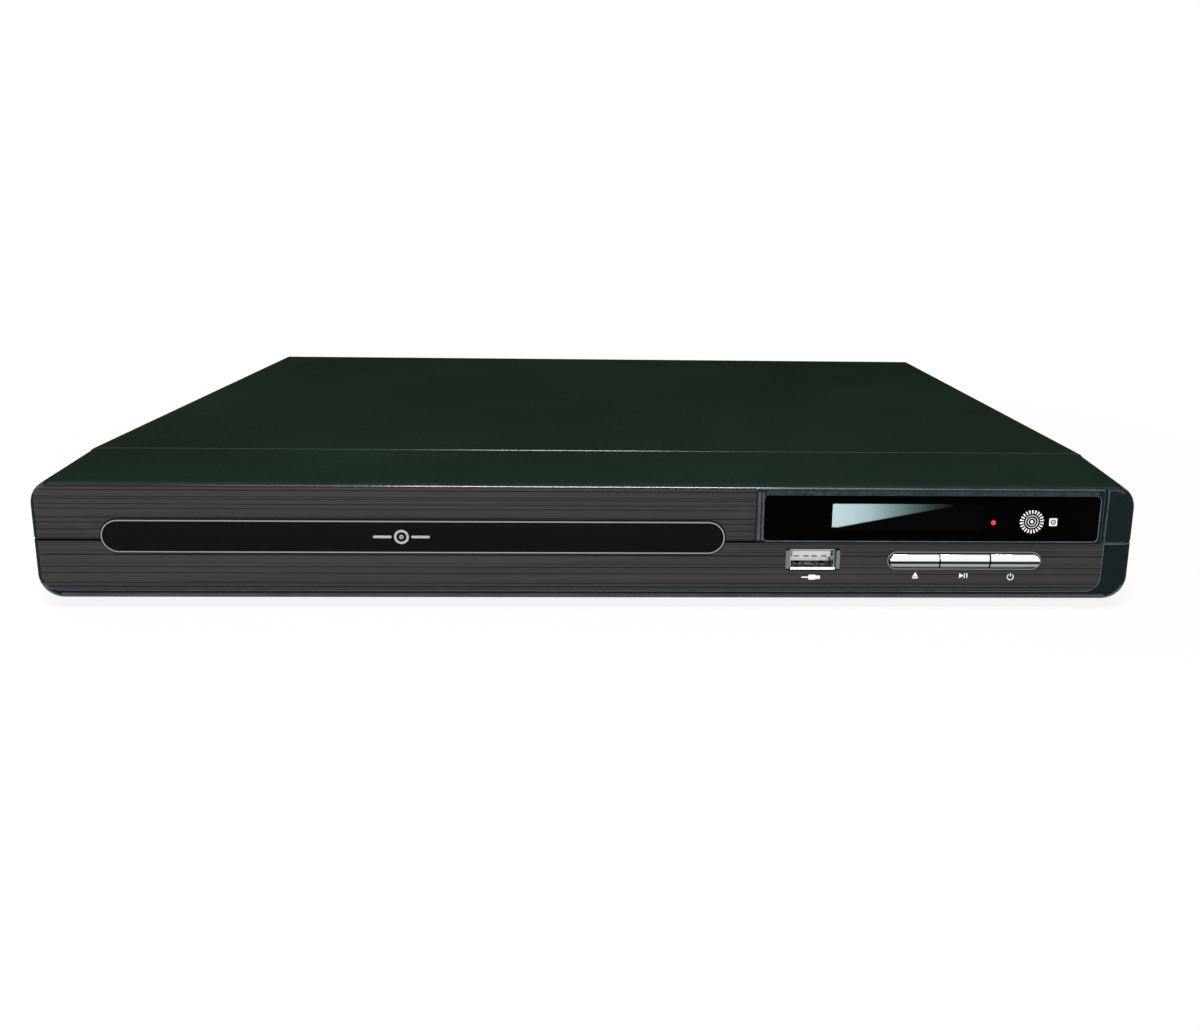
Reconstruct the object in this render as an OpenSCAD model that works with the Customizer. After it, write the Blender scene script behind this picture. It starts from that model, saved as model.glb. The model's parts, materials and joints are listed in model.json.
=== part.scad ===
// Table-top disc player with a motorised tray: folded steel case, moulded
// front, belt-driven loader with a tilting traverse, boards and rear sockets.
// Every sub-part is drawn with y = 0 on the front face and z = 0 on the floor;
// in_case() and in_loader() then set it in the frame of the whole player.

/* [Case] */
// Width over the steel top cover
case_w = 320; // [318:1:350]
// Depth from the front face to the rear plate
case_d = 226; // [226:1:250]
// Height of the case without its feet
case_h = 33.8; // [33.8:0.2:40]
// Thickness of the folded sheet steel
sheet = 0.8; // [0.6:0.1:1]
// Outside radius of the folds along the cover
fold_r = 2.5; // [1.5:0.1:3]
// Height of each foot below the case
foot_h = 4.2; // [3.6:0.2:6]
// Radius of each foot
foot_r = 9; // [7:0.5:11]
// Depth of the rubber pad inside a foot
pad_h = 1.6; // [1.2:0.1:2]

/* [Front mouldings] */
// Width of the front face, narrower than the cover
front_w = 316.2; // [312:0.2:317]
// Depth of the moulded front, back to the seam with the cover
apron_d = 37.7; // [34:0.1:42]
// Step of the moulded front inside the cover at the seam
seam_step = 0.5; // [0.2:0.1:0.8]
// Wall of the front mouldings
wall = 2.4; // [2:0.1:2.8]
// Depth of the rounded edge round the front face
lip_d = 3.5; // [3.2:0.1:4]
// Height of the rounded edge at the top and bottom of the front face
lip_h = 2.2; // [2:0.1:2.6]
// Radius of the upper corners of the front face
top_corner_r = 7; // [6:0.1:8]
// Radius of the lower corners of the front face
low_corner_r = 7; // [5:0.1:8]
// Distance that the front hangs below the bottom of the case
chin = 1.2; // [0.6:0.1:1.6]
// Distance of the parting groove below the top
split_drop = 17; // [16.8:0.1:17.4]
// Width of the parting groove
groove_w = 0.5; // [0.3:0.1:0.7]
// Depth of the parting groove
groove_d = 0.8; // [0.5:0.1:1]
// Thickness of the hairline fascia plates
fascia_t = 1; // [0.8:0.1:1.2]
// Distance of the upper edge of the fascia below the top
fascia_drop = 1.2; // [1:0.1:1.6]
// Left end of the fascia from the middle
fascia_left = 155.9; // [154:0.1:156.2]
// Right end of the lower fascia from the middle
fascia_right = 148.9; // [148.2:0.1:150]
// Depth of the floor of the lower moulding behind the front face
sill_d = 14; // [12:0.5:16]

/* [Tray door] */
// Width of the door
door_w = 176.3; // [170:0.1:178]
// Height of the door
door_h = 9.7; // [9.5:0.1:10.1]
// Middle of the door left of the middle of the case
door_left = 49.95; // [48:0.05:50.5]
// Distance of the middle of the door below the top
door_drop = 15.75; // [15.7:0.05:15.8]
// Gap all round the door
door_gap = 0.35; // [0.3:0.05:0.45]
// Distance of the face of the door in front of the fascia
door_out = 0.3; // [0.1:0.1:0.6]
// Width of the plated line round the door
trim_w = 0.5; // [0.4:0.1:1]
// Depth of the plated trim ring
trim_d = 1.2; // [1:0.1:1.4]

/* [Display window] */
// Left edge of the smoked window from the middle
window_x0 = 49.3; // [49:0.1:50.5]
// Right edge of the smoked window from the middle
window_x1 = 146.6; // [145:0.1:147]
// Upper edge of the window below the top
window_top = 3; // [2.8:0.1:3.4]
// Height of the window
window_h = 13.5; // [13.2:0.1:13.6]
// Thickness of the smoked window
window_t = 1.6; // [1.4:0.1:1.8]
// Width of the raised frame right of the window
frame_w = 1.1; // [0.8:0.1:1.4]
// Width of the raised frame left of the window
frame_left_w = 2.4; // [1.6:0.1:2.6]
// Depth of the groove between the frame and the right cheek
cheek_groove_d = 0.5; // [0.3:0.1:0.8]
// Height of the raised frame in front of the face
frame_out = 0.35; // [0.2:0.05:0.5]

/* [Buttons and front socket] */
// Left end of the button row from the middle
button_x0 = 85.45; // [84:0.05:86]
// Length of the button row
button_row = 45.35; // [44:0.05:47]
// Height of the button row
button_row_h = 5.7; // [5.4:0.1:6]
// Distance of the middle of the buttons below the top
button_drop = 22.45; // [22:0.05:22.8]
// Width of the plated ring round the buttons
ring_w = 0.55; // [0.4:0.05:0.7]
// Gap round each button
button_gap = 0.2; // [0.15:0.05:0.3]
// Distance of the buttons in front of the face
button_out = 1.2; // [0.8:0.1:1.6]
// Travel of each button
button_travel = 0.5; // [0.4:0.05:0.7]
// Middle of the front socket from the middle
usb_x = 63.9; // [63:0.1:65]
// Distance of the middle of the front socket below the top
usb_drop = 22.25; // [22:0.05:22.5]
// Width of the metal shell of the front socket
usb_w = 13.1; // [13.1:0.1:13.3]
// Height of the metal shell of the front socket
usb_h = 5.7; // [5.6:0.1:5.8]
// Width of the frame that the fascia leaves round the front socket
usb_frame_w = 16.1; // [15.6:0.1:16.6]
// Height of the frame that the fascia leaves round the front socket
usb_frame_h = 6.9; // [6.7:0.1:7.1]
// Distance of the front board behind the front face
board_y = 15; // [14.5:0.1:16]

/* [Loader] */
// Radius of the recess for a large disc
disc_r = 60.5; // [60.5:0.1:61]
// Radius of the recess for a small disc
small_disc_r = 40.5; // [40.5:0.1:41]
// Distance of the disc centre behind the front face
disc_y = 72; // [71.5:0.1:73]
// Width of the tray
tray_w = 130; // [129:0.1:131]
// Length of the tray
tray_l = 165; // [164:0.5:168]
// Height of the tray at its side rails
tray_h = 8.1; // [7.9:0.1:8.2]
// Depth of the large recess below the rim of the tray
recess_d = 3; // [2.8:0.1:3.1]
// Further depth of the small recess
small_recess_d = 0.9; // [0.7:0.1:1]
// Width of the slot for the pickup, open to the rear
slot_w = 46; // [45.5:0.5:48]
// Travel of the tray
tray_travel = 132; // [120:1:134]
// Length of the loader frame
loader_l = 180; // [178:1:184]
// Thickness of the walls of the loader frame
loader_wall = 2.4; // [2:0.1:2.8]
// Angle through which the traverse tilts down
traverse_deg = 2.7; // [2.2:0.1:2.8]
// Travel of the cam slider
cam_travel = 12; // [10:0.5:13]
// Travel of the pickup
sled_travel = 35; // [30:0.5:35]

/* [Gears] */
// Module of the rack and its pinion
rack_mod = 1; // [0.9:0.05:1.05]
// Teeth of the rack pinion
pinion_n = 22; // [20:1:23]
// Module of the reduction gears
gear_mod = 0.8; // [0.75:0.05:0.85]
// Teeth of the large reduction gear
wheel_n = 40; // [38:1:41]
// Teeth of the small reduction gear
small_n = 14; // [13:1:15]
// Play between meshing teeth
backlash = 0.3; // [0.2:0.05:0.4]

/* [Clearances] */
// Radial clearance of turning and sliding pins
pin_fit = 0.06; // [0.04:0.01:0.08]
// Gap between sliding parts of the loader
slide_gap = 0.3; // [0.25:0.05:0.35]
// Gap between parts that are laid together
lay_gap = 0.15; // [0.1:0.05:0.2]

/* [Hidden] */
$fn = 48;

// Heights above the floor
base_z = foot_h;
floor_z = base_z + sheet;
top_z = base_z + case_h;
roof_z = top_z - sheet;
split_z = top_z - split_drop;
half_w = case_w / 2;
reach = max(half_w, front_w / 2) + 1;

// Rear plane: the cover's lip lies outside the rear wall
lip_gap = 0.1;
rear_out = case_d - sheet - lip_gap;
rear_in = rear_out - sheet;

// Sockets on the rear wall
jack_r = 4.15;
jack_out = 8.3;
jack_pin_r = 1.65;
jack_pitch = 14;
jack_count = 4;
jack_x0 = 46;
jack_z = 18.5;

// The middle of the whole depth, sockets and buttons included, is at y = 0
front_y = -(case_d + jack_out - button_out) / 2;
tray_x = -door_left;

// Tray and loader levels
door_z = top_z - door_drop;
tray_top = door_z + 4.15;
tray_low = tray_top - tray_h;
recess_z = tray_top - recess_d;
tray_under = recess_z - small_recess_d - 1.1;
tray_y0 = 3;
frame_x = tray_w / 2 + 1;
frame_low = base_z + 4.2;
frame_top = tray_top + 1.6;
frame_y0 = 5.5;
frame_y1 = frame_y0 + loader_l;
deck_low = frame_low + 1;
deck_t = 1.6;
deck_top = deck_low + deck_t;
deck_y1 = 46.3;

// Disc drive levels
disc_lift = 1.2;
seat_z = recess_z + disc_lift;
disc_t = 1.2;
hub_r = 7.35;
table_r = 14.5;
table_t = 2.2;
bridge_z = frame_top + 0.6;
bridge_t = 1.8;

// Traverse, hinged at its rear
pivot_y = 157;
pivot_z = base_z + 8.8;
pivot_r = 2;
lift_low = base_z + 6.4;
lift_h = 5;
lift_x = 44;
lift_bar = 6;
lift_y0 = 52;
lift_y1 = 162;
plate_z = lift_low + 2;
plate_t = 1;
damper_r = 4;
damper_x = 32;
damper_y = [63.5, 151.2];
cam_pin_r = 1.2;
cam_pin_z = base_z + 10;
cam_y0 = 46.6;
cam_t = 2.4;
cam_drop = (pivot_y - cam_y0 - cam_t / 2) * sin(traverse_deg);

// Pickup
rod_r = 1.5;
rod_x = 19;
rod_z = plate_z + plate_t + 4;
rod_y0 = 79;
sled_y0 = 84.5;
sled_l = 26;
nut_l = 7;
rod_y1 = sled_y0 + sled_l + sled_travel + 7.5;
sled_x = 22.6;
screw_x = 30;
screw_r = 1.5;
motor_r = 11.5;

// Gear train, from the rack to the loading motor
gear_y = 26;
gear_x = 30;
pinion_pitch = rack_mod * pinion_n / 2;
rack_x = gear_x + pinion_pitch + 0.05;
wheel_pitch = gear_mod * wheel_n / 2;
small_pitch = gear_mod * small_n / 2;
second_x = gear_x - wheel_pitch - small_pitch - 0.05;
level_1 = deck_top + 0.6;
level_2 = level_1 + 3.3;
level_3 = tray_under - 3.1;
gear_t = 2.8;
axle_r = 1.5;
pulley_r = 10.4;
pulley_flange = 1.6;
motor_pulley_r = 2.6;
load_motor_x = -42;
load_motor_y = 30;
load_motor_r = 12;
belt_t = 1.2;

// Boards: the main board reaches from beside the loader to the power board
board_t = 1.6;
board_z = base_z + 4.8;
board_top = board_z + board_t;
board_y1 = rear_in - 1;
board_off = 18;
power_w = 50;
power_x1 = half_w - 6;
power_x0 = power_x1 - power_w;
power_y0 = 94;
main_x1 = power_x0 - 3;
main_x0 = tray_x + frame_x + board_off;
main_y0 = 112;

// ---- helpers -------------------------------------------------------------

module in_case() {
    translate([0, front_y, 0]) children();
}

module in_loader() {
    translate([tray_x, front_y, 0]) children();
}

// A profile in x and z, drawn along y
module along_y(start, length) {
    translate([0, start + length, 0])
        rotate([90, 0, 0])
            linear_extrude(height = length) children();
}

// A profile in y and z, drawn along x
module along_x(start, length) {
    translate([start, 0, 0])
        rotate([90, 0, 90])
            linear_extrude(height = length) children();
}

module rounded(w, h, r) {
    square([w - 2 * r, h], center = true);
    square([w, h - 2 * r], center = true);
    for (x = [-1, 1], y = [-1, 1])
        translate([x * (w / 2 - r), y * (h / 2 - r)]) circle(r = r);
}

module stadium(w, h) {
    square([w - h, h], center = true);
    for (x = [-1, 1]) translate([x * (w - h) / 2, 0]) circle(d = h);
}

module box(x0, x1, y0, y1, z0, z1) {
    translate([x0, y0, z0]) cube([x1 - x0, y1 - y0, z1 - z0]);
}

module ring(outer, inner, h) {
    difference() {
        cylinder(r = outer, h = h);
        translate([0, 0, -1]) cylinder(r = inner, h = h + 2);
    }
}

// A pan-head screw standing on z = 0, shank downwards
module screw(head_r, head_h, shank_r, shank_l) {
    difference() {
        cylinder(r = head_r, h = head_h);
        for (turn = [0, 90])
            rotate(turn) translate([-head_r * 0.55, -head_r * 0.12, head_h * 0.45])
                cube([head_r * 1.1, head_r * 0.24, head_h]);
    }
    translate([0, 0, -shank_l]) cylinder(r = shank_r, h = shank_l);
}

// Outline of the folded cover and of the seam, in x and z
module case_outline(inset) {
    r = fold_r - min(inset, fold_r - 0.6);
    translate([0, (base_z + top_z) / 2]) rounded(case_w - 2 * inset, case_h - 2 * inset, r);
}

// Four corner discs of one section through the moulded front
module section(half, low, high, top_r, low_r, y) {
    for (side = [-1, 1]) {
        translate([side * (half - top_r), y, high - top_r])
            rotate([-90, 0, 0]) cylinder(r = top_r, h = 0.01, $fn = 32);
        translate([side * (half - low_r), y, low + low_r])
            rotate([-90, 0, 0]) cylinder(r = low_r, h = 0.01, $fn = 32);
    }
}

// How much the corner radii lose for each mm that the rounded edge comes in
top_tighten = 1.4;
low_tighten = 0.7;

// The moulded front as one smooth body, shrunk by inset, from the seam to the rounded face
module front_form(inset, rear) {
    steps = 5;
    hull() {
        section(half_w - seam_step - inset, base_z + inset, top_z - inset,
            fold_r - min(inset, fold_r - 0.6), fold_r - min(inset, fold_r - 0.6), rear);
        for (i = [0 : steps]) {
            turn = 90 * i / steps;
            side_in = inset + (lip_d - inset / 2) * (1 - cos(turn));
            high_in = inset + (lip_h - inset / 2) * (1 - cos(turn));
            section(front_w / 2 - side_in, base_z - chin + high_in, top_z - high_in,
                top_corner_r - high_in * top_tighten, low_corner_r - high_in * low_tighten,
                inset + (lip_d - inset / 2) * (1 - sin(turn)));
        }
    }
}

// ---- case ----------------------------------------------------------------

lip_drop = 9;
cover_screw_z = base_z + 8.5;
side_screw_y = [70, 196];
rear_screw_x = [-128, 0, 128];

module side_vents(count) {
    for (i = [0 : count - 1])
        translate([0, 118 + i * 5, top_z - 15]) rotate([0, 90, 0])
            linear_extrude(height = case_w + 10, center = true) stadium(12, 2.2);
}

module top_cover() color("darkslategray") in_case() {
    difference() {
        along_y(apron_d, case_d - apron_d) case_outline(0);
        along_y(apron_d - 1, case_d - apron_d + 1 - sheet) case_outline(sheet);
        box(-half_w + sheet, half_w - sheet, apron_d - 1, case_d + 1, base_z - 1, top_z - lip_drop);
        box(-half_w - 1, half_w + 1, apron_d - 1, case_d + 1, base_z - 1, base_z + fold_r);
        box(-half_w - 1, -half_w + 8, case_d - sheet, case_d + 1, base_z, roof_z);
        box(half_w - 8, half_w + 1, case_d - sheet, case_d + 1, base_z, roof_z);
        side_vents(14);
        for (y = side_screw_y)
            translate([-half_w - 5, y, cover_screw_z]) rotate([0, 90, 0]) cylinder(r = 1.7, h = case_w + 10);
        for (x = rear_screw_x)
            translate([x, case_d - 3, top_z - 5]) rotate([-90, 0, 0]) cylinder(r = 1.7, h = 6);
    }
}

flange_x = half_w - sheet - lay_gap;
flange_h = 11;
sill_x = half_w - seam_step - 8;
foot_spots = [[-128, 26], [128, 26], [-128, case_d - 26], [128, case_d - 26]];
loader_ears = [[-frame_x - 8, 28], [frame_x + 8, 28], [-frame_x - 8, 172], [frame_x + 8, 172]];
board_spots = [
    for (x = [main_x0 + 6, main_x1 - 5], y = [main_y0 + 6, board_y1 - 27.3]) [x, y],
    for (x = [power_x0 + 4, power_x1 - 6], y = [power_y0 + 6, board_y1 - 23.3]) [x, y]
];
inlet_x = half_w - 28;
inlet_z = board_z + board_t + 8;
inlet_w = 20.6;
inlet_h = 11.4;

// Beads pressed upwards that stiffen the floor: middle, length and turn of each
floor_beads = [
    [-half_w + 24, case_d / 2 + 14, 120, 90],
    [main_x0 - 9, case_d / 2 + 16, 62, 90],
    [(main_x0 + power_x1) / 2, power_y0 - 22, 90, 0]
];
bead_w = 8;
bead_h = 1;

module floor_bead(bead, grow, z0, z1) {
    translate([bead[0], bead[1], z0]) rotate(bead[3])
        linear_extrude(height = z1 - z0) stadium(bead[2] + grow, bead_w + grow);
}

module chassis_base() color("silver") in_case() {
    difference() {
        union() {
            for (bead = floor_beads) floor_bead(bead, 0, base_z, floor_z + bead_h);
            box(-sill_x, sill_x, sill_d + lay_gap, apron_d + 8, base_z, floor_z);
            box(-flange_x, flange_x, apron_d + 5, rear_out, base_z, floor_z);
            for (side = [-1, 1])
                scale([side, 1, 1])
                    box(flange_x - sheet, flange_x, apron_d + 5, rear_out, base_z, base_z + flange_h);
            box(-flange_x, flange_x, rear_in, rear_out, base_z, base_z + flange_h);
            along_y(rear_in, sheet) case_outline(sheet + lay_gap);
            box(-sill_x + 10, sill_x - 10, sill_d + lay_gap, sill_d + lay_gap + sheet, base_z, base_z + 2.6);
            for (spot = loader_ears)
                translate([tray_x + spot[0], spot[1], base_z]) cylinder(r = 3.4, h = frame_low - base_z);
            for (spot = board_spots)
                translate([spot[0], spot[1], base_z]) cylinder(r = 2.8, h = board_z - base_z);
        }
        for (bead = floor_beads) floor_bead(bead, -2 * sheet, base_z - 1, base_z + bead_h);
        for (spot = loader_ears)
            translate([tray_x + spot[0], spot[1], base_z - 1]) cylinder(r = 1.25, h = 12);
        for (spot = board_spots)
            translate([spot[0], spot[1], base_z - 1]) cylinder(r = 1.25, h = 12);
        for (spot = foot_spots)
            translate([spot[0], spot[1], base_z - 1]) cylinder(r = 2.2, h = 4);
        // louvres under the boards and beside them in the rear wall
        for (i = [0 : 9])
            translate([half_w - 48 + i * 4, 150, base_z - 1])
                linear_extrude(height = 4) rotate(90) stadium(30, 1.8);
        for (i = [0 : 15])
            translate([-118 + i * 5, rear_out + 1, base_z + 17]) rotate([90, 0, 0])
                linear_extrude(height = 4) rotate(90) stadium(14, 2.2);
        for (y = side_screw_y)
            translate([-half_w, y, cover_screw_z]) rotate([0, 90, 0]) cylinder(r = 1.25, h = case_w);
        for (x = rear_screw_x)
            translate([x, rear_in - 1, top_z - 5]) rotate([-90, 0, 0]) cylinder(r = 1.25, h = 6);
        for (i = [0 : jack_count - 1])
            translate([jack_x0 + i * jack_pitch, rear_in - 1, jack_z])
                rotate([-90, 0, 0]) cylinder(r = jack_r + 0.45, h = 6);
        box(inlet_x - inlet_w / 2 - 0.2, inlet_x + inlet_w / 2 + 0.2, rear_in - 1, rear_out + 1,
            inlet_z - inlet_h / 2 - 0.2, inlet_z + inlet_h / 2 + 0.2);
    }
}

module cover_screws() color("dimgray") in_case() {
    for (y = side_screw_y, side = [-1, 1])
        translate([side * half_w, y, cover_screw_z]) rotate([0, 90 * side, 0]) screw(2.8, 1.5, 1.2, 4);
    for (x = rear_screw_x)
        translate([x, case_d, top_z - 5]) rotate([-90, 0, 0]) screw(2.8, 1.5, 1.2, 4);
}

module feet() color("black") in_case() {
    for (spot = foot_spots)
        translate([spot[0], spot[1], 0]) difference() {
            union() {
                translate([0, 0, 0.8]) cylinder(r1 = foot_r - 1, r2 = foot_r, h = foot_h - 0.8);
                translate([0, 0, foot_h]) cylinder(r = 2.1, h = sheet + 1.2);
            }
            translate([0, 0, -1]) cylinder(r = foot_r - 2.6, h = pad_h + 1);
        }
}

module foot_pads() color("gray") in_case() {
    for (spot = foot_spots)
        translate([spot[0], spot[1], 0]) cylinder(r = foot_r - 2.7, h = pad_h);
}

// ---- front mouldings -----------------------------------------------------

usb_z = top_z - usb_drop;
button_z = top_z - button_drop;
button_mid = button_x0 + button_row / 2;
window_mid = (window_x0 + window_x1) / 2;
window_w = window_x1 - window_x0;
window_z = top_z - window_top - window_h / 2;
frame_x0 = window_x0 - frame_left_w;
frame_x1 = window_x1 + frame_w;
frame_z0 = split_z + groove_w / 2;
frame_z1 = top_z - fascia_drop;

module door_slot(y0, y1) {
    translate([tray_x, 0, door_z])
        along_y(y0, y1 - y0) stadium(door_w + 2 * door_gap, door_h + 2 * door_gap);
}

// The body shared by both mouldings: a shell with the parting groove round it
module front_shell() {
    difference() {
        union() {
            front_form(0, apron_d - 0.01);
            along_y(apron_d, 4) case_outline(sheet + lay_gap);
        }
        front_form(wall, apron_d - 0.01);
        along_y(apron_d - 0.02, 8) case_outline(wall + seam_step);
        difference() {
            box(-reach, reach, -1, apron_d - 1, split_z - groove_w / 2, split_z + groove_w / 2);
            front_form(groove_d, apron_d - 0.01);
        }
        door_slot(-1, wall + 3);
        box(-sill_x - 0.2, sill_x + 0.2, sill_d, apron_d + 5, base_z - chin - 1, base_z + 8);
    }
}

fascia_corner_r = 4.5;

// Outline of the lower fascia plate, with its lower corners rounded
module lower_fascia_outline() {
    low = base_z + 1.9;
    high = split_z - groove_w / 2;
    translate([(fascia_right - fascia_left) / 2, (low + high) / 2])
        rounded(fascia_right + fascia_left, high - low, fascia_corner_r);
    translate([-fascia_left, high - 2 * fascia_corner_r])
        square([fascia_left + fascia_right, 2 * fascia_corner_r]);
}

module upper_fascia_outline() {
    low = split_z + groove_w / 2;
    translate([-fascia_left, low]) square([fascia_left + frame_x0, top_z - fascia_drop - low]);
}

module front_posts(spots) {
    for (spot = spots)
        translate([spot[0], wall - sink, spot[1]]) rotate([-90, 0, 0]) difference() {
            cylinder(r = 2.6, h = board_y - wall + sink);
            translate([0, 0, 6]) cylinder(r = 1, h = 20);
        }
}

upper_posts = [[56, top_z - 4.6], [front_w / 2 - 9.3, top_z - 4.6]];
lower_posts = [[78.6, base_z + 5.6], [front_w / 2 - 12.3, base_z + 5.6]];

// Ribs under the roof of the moulding and tongues along its rear edge
sink = 0.4;
rib_t = 1.2;
rib_h = 4;
rib_tip = 1;
rib_l = 30;
roof_rib_x = [for (i = [0 : 4]) i * 40 - half_w + 22];
tongue_w = 8;
tongue_t = 1.9;
tongue_l = 10;
tongue_x = [42 - half_w, -40, 40, half_w - 42];

// Ribs that stiffen the roof of the moulding behind the face
module roof_ribs() {
    for (x = roof_rib_x)
        along_x(x - rib_t / 2, rib_t)
            polygon([
                [wall - sink, top_z - wall - rib_h], [rib_l, top_z - wall - rib_tip],
                [rib_l, top_z - wall + sink], [wall - sink, top_z - wall + sink]
            ]);
}

// Tongues with slanted tips that lead the folded cover onto the moulding
module roof_tongues() {
    high = roof_z - lay_gap;
    low = high - tongue_t;
    for (x = tongue_x)
        along_x(x - tongue_w / 2, tongue_w)
            polygon([
                [apron_d, low], [apron_d + tongue_l, low], [apron_d + tongue_l, low + tongue_t / 2],
                [apron_d + tongue_l - tongue_t, high], [apron_d, high]
            ]);
}

module front_bezel_upper() color("darkslategray") in_case() {
    difference() {
        union() {
            intersection() {
                front_shell();
                box(-reach, reach, -1, apron_d + 10, split_z, top_z + 1);
            }
            roof_ribs();
            roof_tongues();
            box(frame_x0, frame_x1, -frame_out, wall, frame_z0, frame_z1);
            front_posts(upper_posts);
        }
        along_y(-1, 1 + fascia_t) upper_fascia_outline();
        box(frame_x1, fascia_right, -1, cheek_groove_d, frame_z0 - 1, frame_z1 + 0.2);
        translate([window_mid, 0, window_z])
            along_y(-1, 1 - frame_out + 0.2 + window_t) rounded(window_w + 0.1, window_h + 0.1, 1.2);
        translate([window_mid, 0, window_z])
            along_y(-1, wall + 2) rounded(window_w - 4, window_h - 3, 1);
        door_slot(-1, wall + 3);
    }
}

module front_bezel_lower() color("darkslategray") in_case() {
    difference() {
        union() {
            intersection() {
                front_shell();
                box(-reach, reach, -1, apron_d + 10, base_z - chin - 1, split_z);
            }
            front_posts(lower_posts);
            button_guide();
        }
        along_y(-1, 1 + fascia_t) lower_fascia_outline();
        translate([button_mid, 0, button_z])
            along_y(-1, wall + 2) stadium(button_row, button_row_h);
        translate([usb_x, 0, usb_z]) along_y(-1, wall + 2) rounded(usb_w + 0.3, usb_h + 0.3, 0.6);
        door_slot(-1, wall + 3);
    }
}

button_pitch = (button_row - 2 * ring_w) / 3;
plunger_r = 1.6;
guide_y = wall + 2.4;
guide_t = 1.6;

function button_x(i) = button_x0 + ring_w + button_pitch * (i + 0.5);

// A bridge behind the buttons that guides their plungers
module button_guide() {
    difference() {
        union() {
            box(button_x0 - 1.6, button_x0 + button_row + 1.6, guide_y, guide_y + guide_t,
                button_z - 2.9, button_z + 2.9);
            for (x = [button_x0 - 1.6, button_x0 + button_row + 0.2])
                box(x, x + 1.4, wall - sink, guide_y + 0.2, button_z - 2.9, button_z + 2.9);
        }
        for (i = [0 : 2])
            translate([button_x(i), guide_y - 1, button_z])
                rotate([-90, 0, 0]) cylinder(r = plunger_r + lay_gap, h = guide_t + 2);
    }
}

module fascia_upper() color("dimgray") in_case() {
    difference() {
        intersection() {
            front_form(0, apron_d - 0.01);
            along_y(-1, 1 + fascia_t) upper_fascia_outline();
        }
        door_slot(-2, wall + 3);
    }
}

module fascia_lower() color("dimgray") in_case() {
    difference() {
        intersection() {
            front_form(0, apron_d - 0.01);
            along_y(-1, 1 + fascia_t) lower_fascia_outline();
        }
        door_slot(-2, wall + 3);
        translate([button_mid, 0, button_z]) along_y(-2, wall + 4) stadium(button_row, button_row_h);
        translate([usb_x, 0, usb_z]) along_y(-2, wall + 4) rounded(usb_frame_w, usb_frame_h, 1);
    }
}

module display_lens() color("black") in_case() {
    translate([window_mid, 0, window_z])
        along_y(-frame_out + 0.2, window_t) rounded(window_w, window_h, 1.2);
}

module display_module() color("white") in_case() {
    box(68, 113.5, wall + 0.6, wall + 6, window_z - 5.4, window_z + 5.4);
    for (x = [70, 110.3])
        box(x, x + 1.6, wall + 6, board_y, window_z - 4, window_z + 4);
}

module front_board() color("darkgreen") in_case() {
    difference() {
        box(window_x0 + 0.7, front_w / 2 - 5.3, board_y, board_y + board_t,
            base_z + 2.6, top_z - wall - 0.6);
        for (spot = concat(upper_posts, lower_posts))
            translate([spot[0], board_y - 1, spot[1]]) rotate([-90, 0, 0]) cylinder(r = 1.3, h = 6);
    }
}

ir_x = 127;
led_x = 115.8;
lamp_z = top_z - 10.9;

module ir_receiver() color("black") in_case() {
    box(ir_x - 2.5, ir_x + 2.5, board_y - 4, board_y, lamp_z - 3, lamp_z + 3.4);
    translate([ir_x, board_y - 4, lamp_z]) rotate([90, 0, 0]) cylinder(r = 1.9, h = 1.2);
}

module standby_led() color("red") in_case() {
    translate([led_x, wall + 1.2, lamp_z]) rotate([-90, 0, 0]) {
        cylinder(r = 1.5, h = 4.6);
        translate([0, 0, 4.6]) cylinder(r = 1.9, h = 1);
    }
    for (x = [-1.27, 0.87])
        box(led_x + x, led_x + x + 0.4, wall + 6.8, board_y, lamp_z - 0.2, lamp_z + 0.2);
}

switch_h = 3.8;
stem_l = 1.4;
stem_y = board_y - switch_h - stem_l;

module tact_switches() color("black") in_case() {
    for (i = [0 : 2]) {
        box(button_x(i) - 3, button_x(i) + 3, board_y - switch_h, board_y, button_z - 3, button_z + 3);
        translate([button_x(i), stem_y, button_z]) rotate([-90, 0, 0]) cylinder(r = 1.7, h = stem_l);
    }
}

module button_surround() color("silver") in_case() {
    translate([button_mid, 0, button_z]) along_y(-0.2, 0.2 + fascia_t) difference() {
        stadium(button_row, button_row_h);
        stadium(button_row - 2 * ring_w, button_row_h - 2 * ring_w);
    }
}

// Radius of the barrel-shaped front of the buttons
crown_r = 3.5;

// One bar of the row: the row's rounded outline cut to the bar's own length and crowned
module button_bar(i) {
    inner_h = button_row_h - 2 * ring_w - 2 * button_gap;
    inner_w = button_row - 2 * ring_w - 2 * button_gap;
    x = button_x(i);
    x0 = x - button_pitch / 2 + button_gap;
    x1 = x + button_pitch / 2 - button_gap;
    crown_y = crown_r - button_out;
    intersection() {
        translate([button_mid, 0, button_z])
            along_y(-button_out, button_out + wall + 1) stadium(inner_w, inner_h);
        union() {
            translate([x0, crown_y, button_z]) rotate([0, 90, 0]) cylinder(r = crown_r, h = x1 - x0);
            box(x0, x1, crown_y, wall + 2, button_z - inner_h, button_z + inner_h);
        }
    }
    translate([x, wall + 0.5, button_z]) rotate([-90, 0, 0])
        cylinder(r = plunger_r, h = stem_y - button_travel - 0.1 - wall - 0.5);
}

module eject_button() color("silver") in_case() button_bar(0);
module play_button() color("silver") in_case() button_bar(1);
module power_button() color("silver") in_case() button_bar(2);

// ---- front socket --------------------------------------------------------

usb_y = 0.9;
usb_wall = 0.3;

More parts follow.
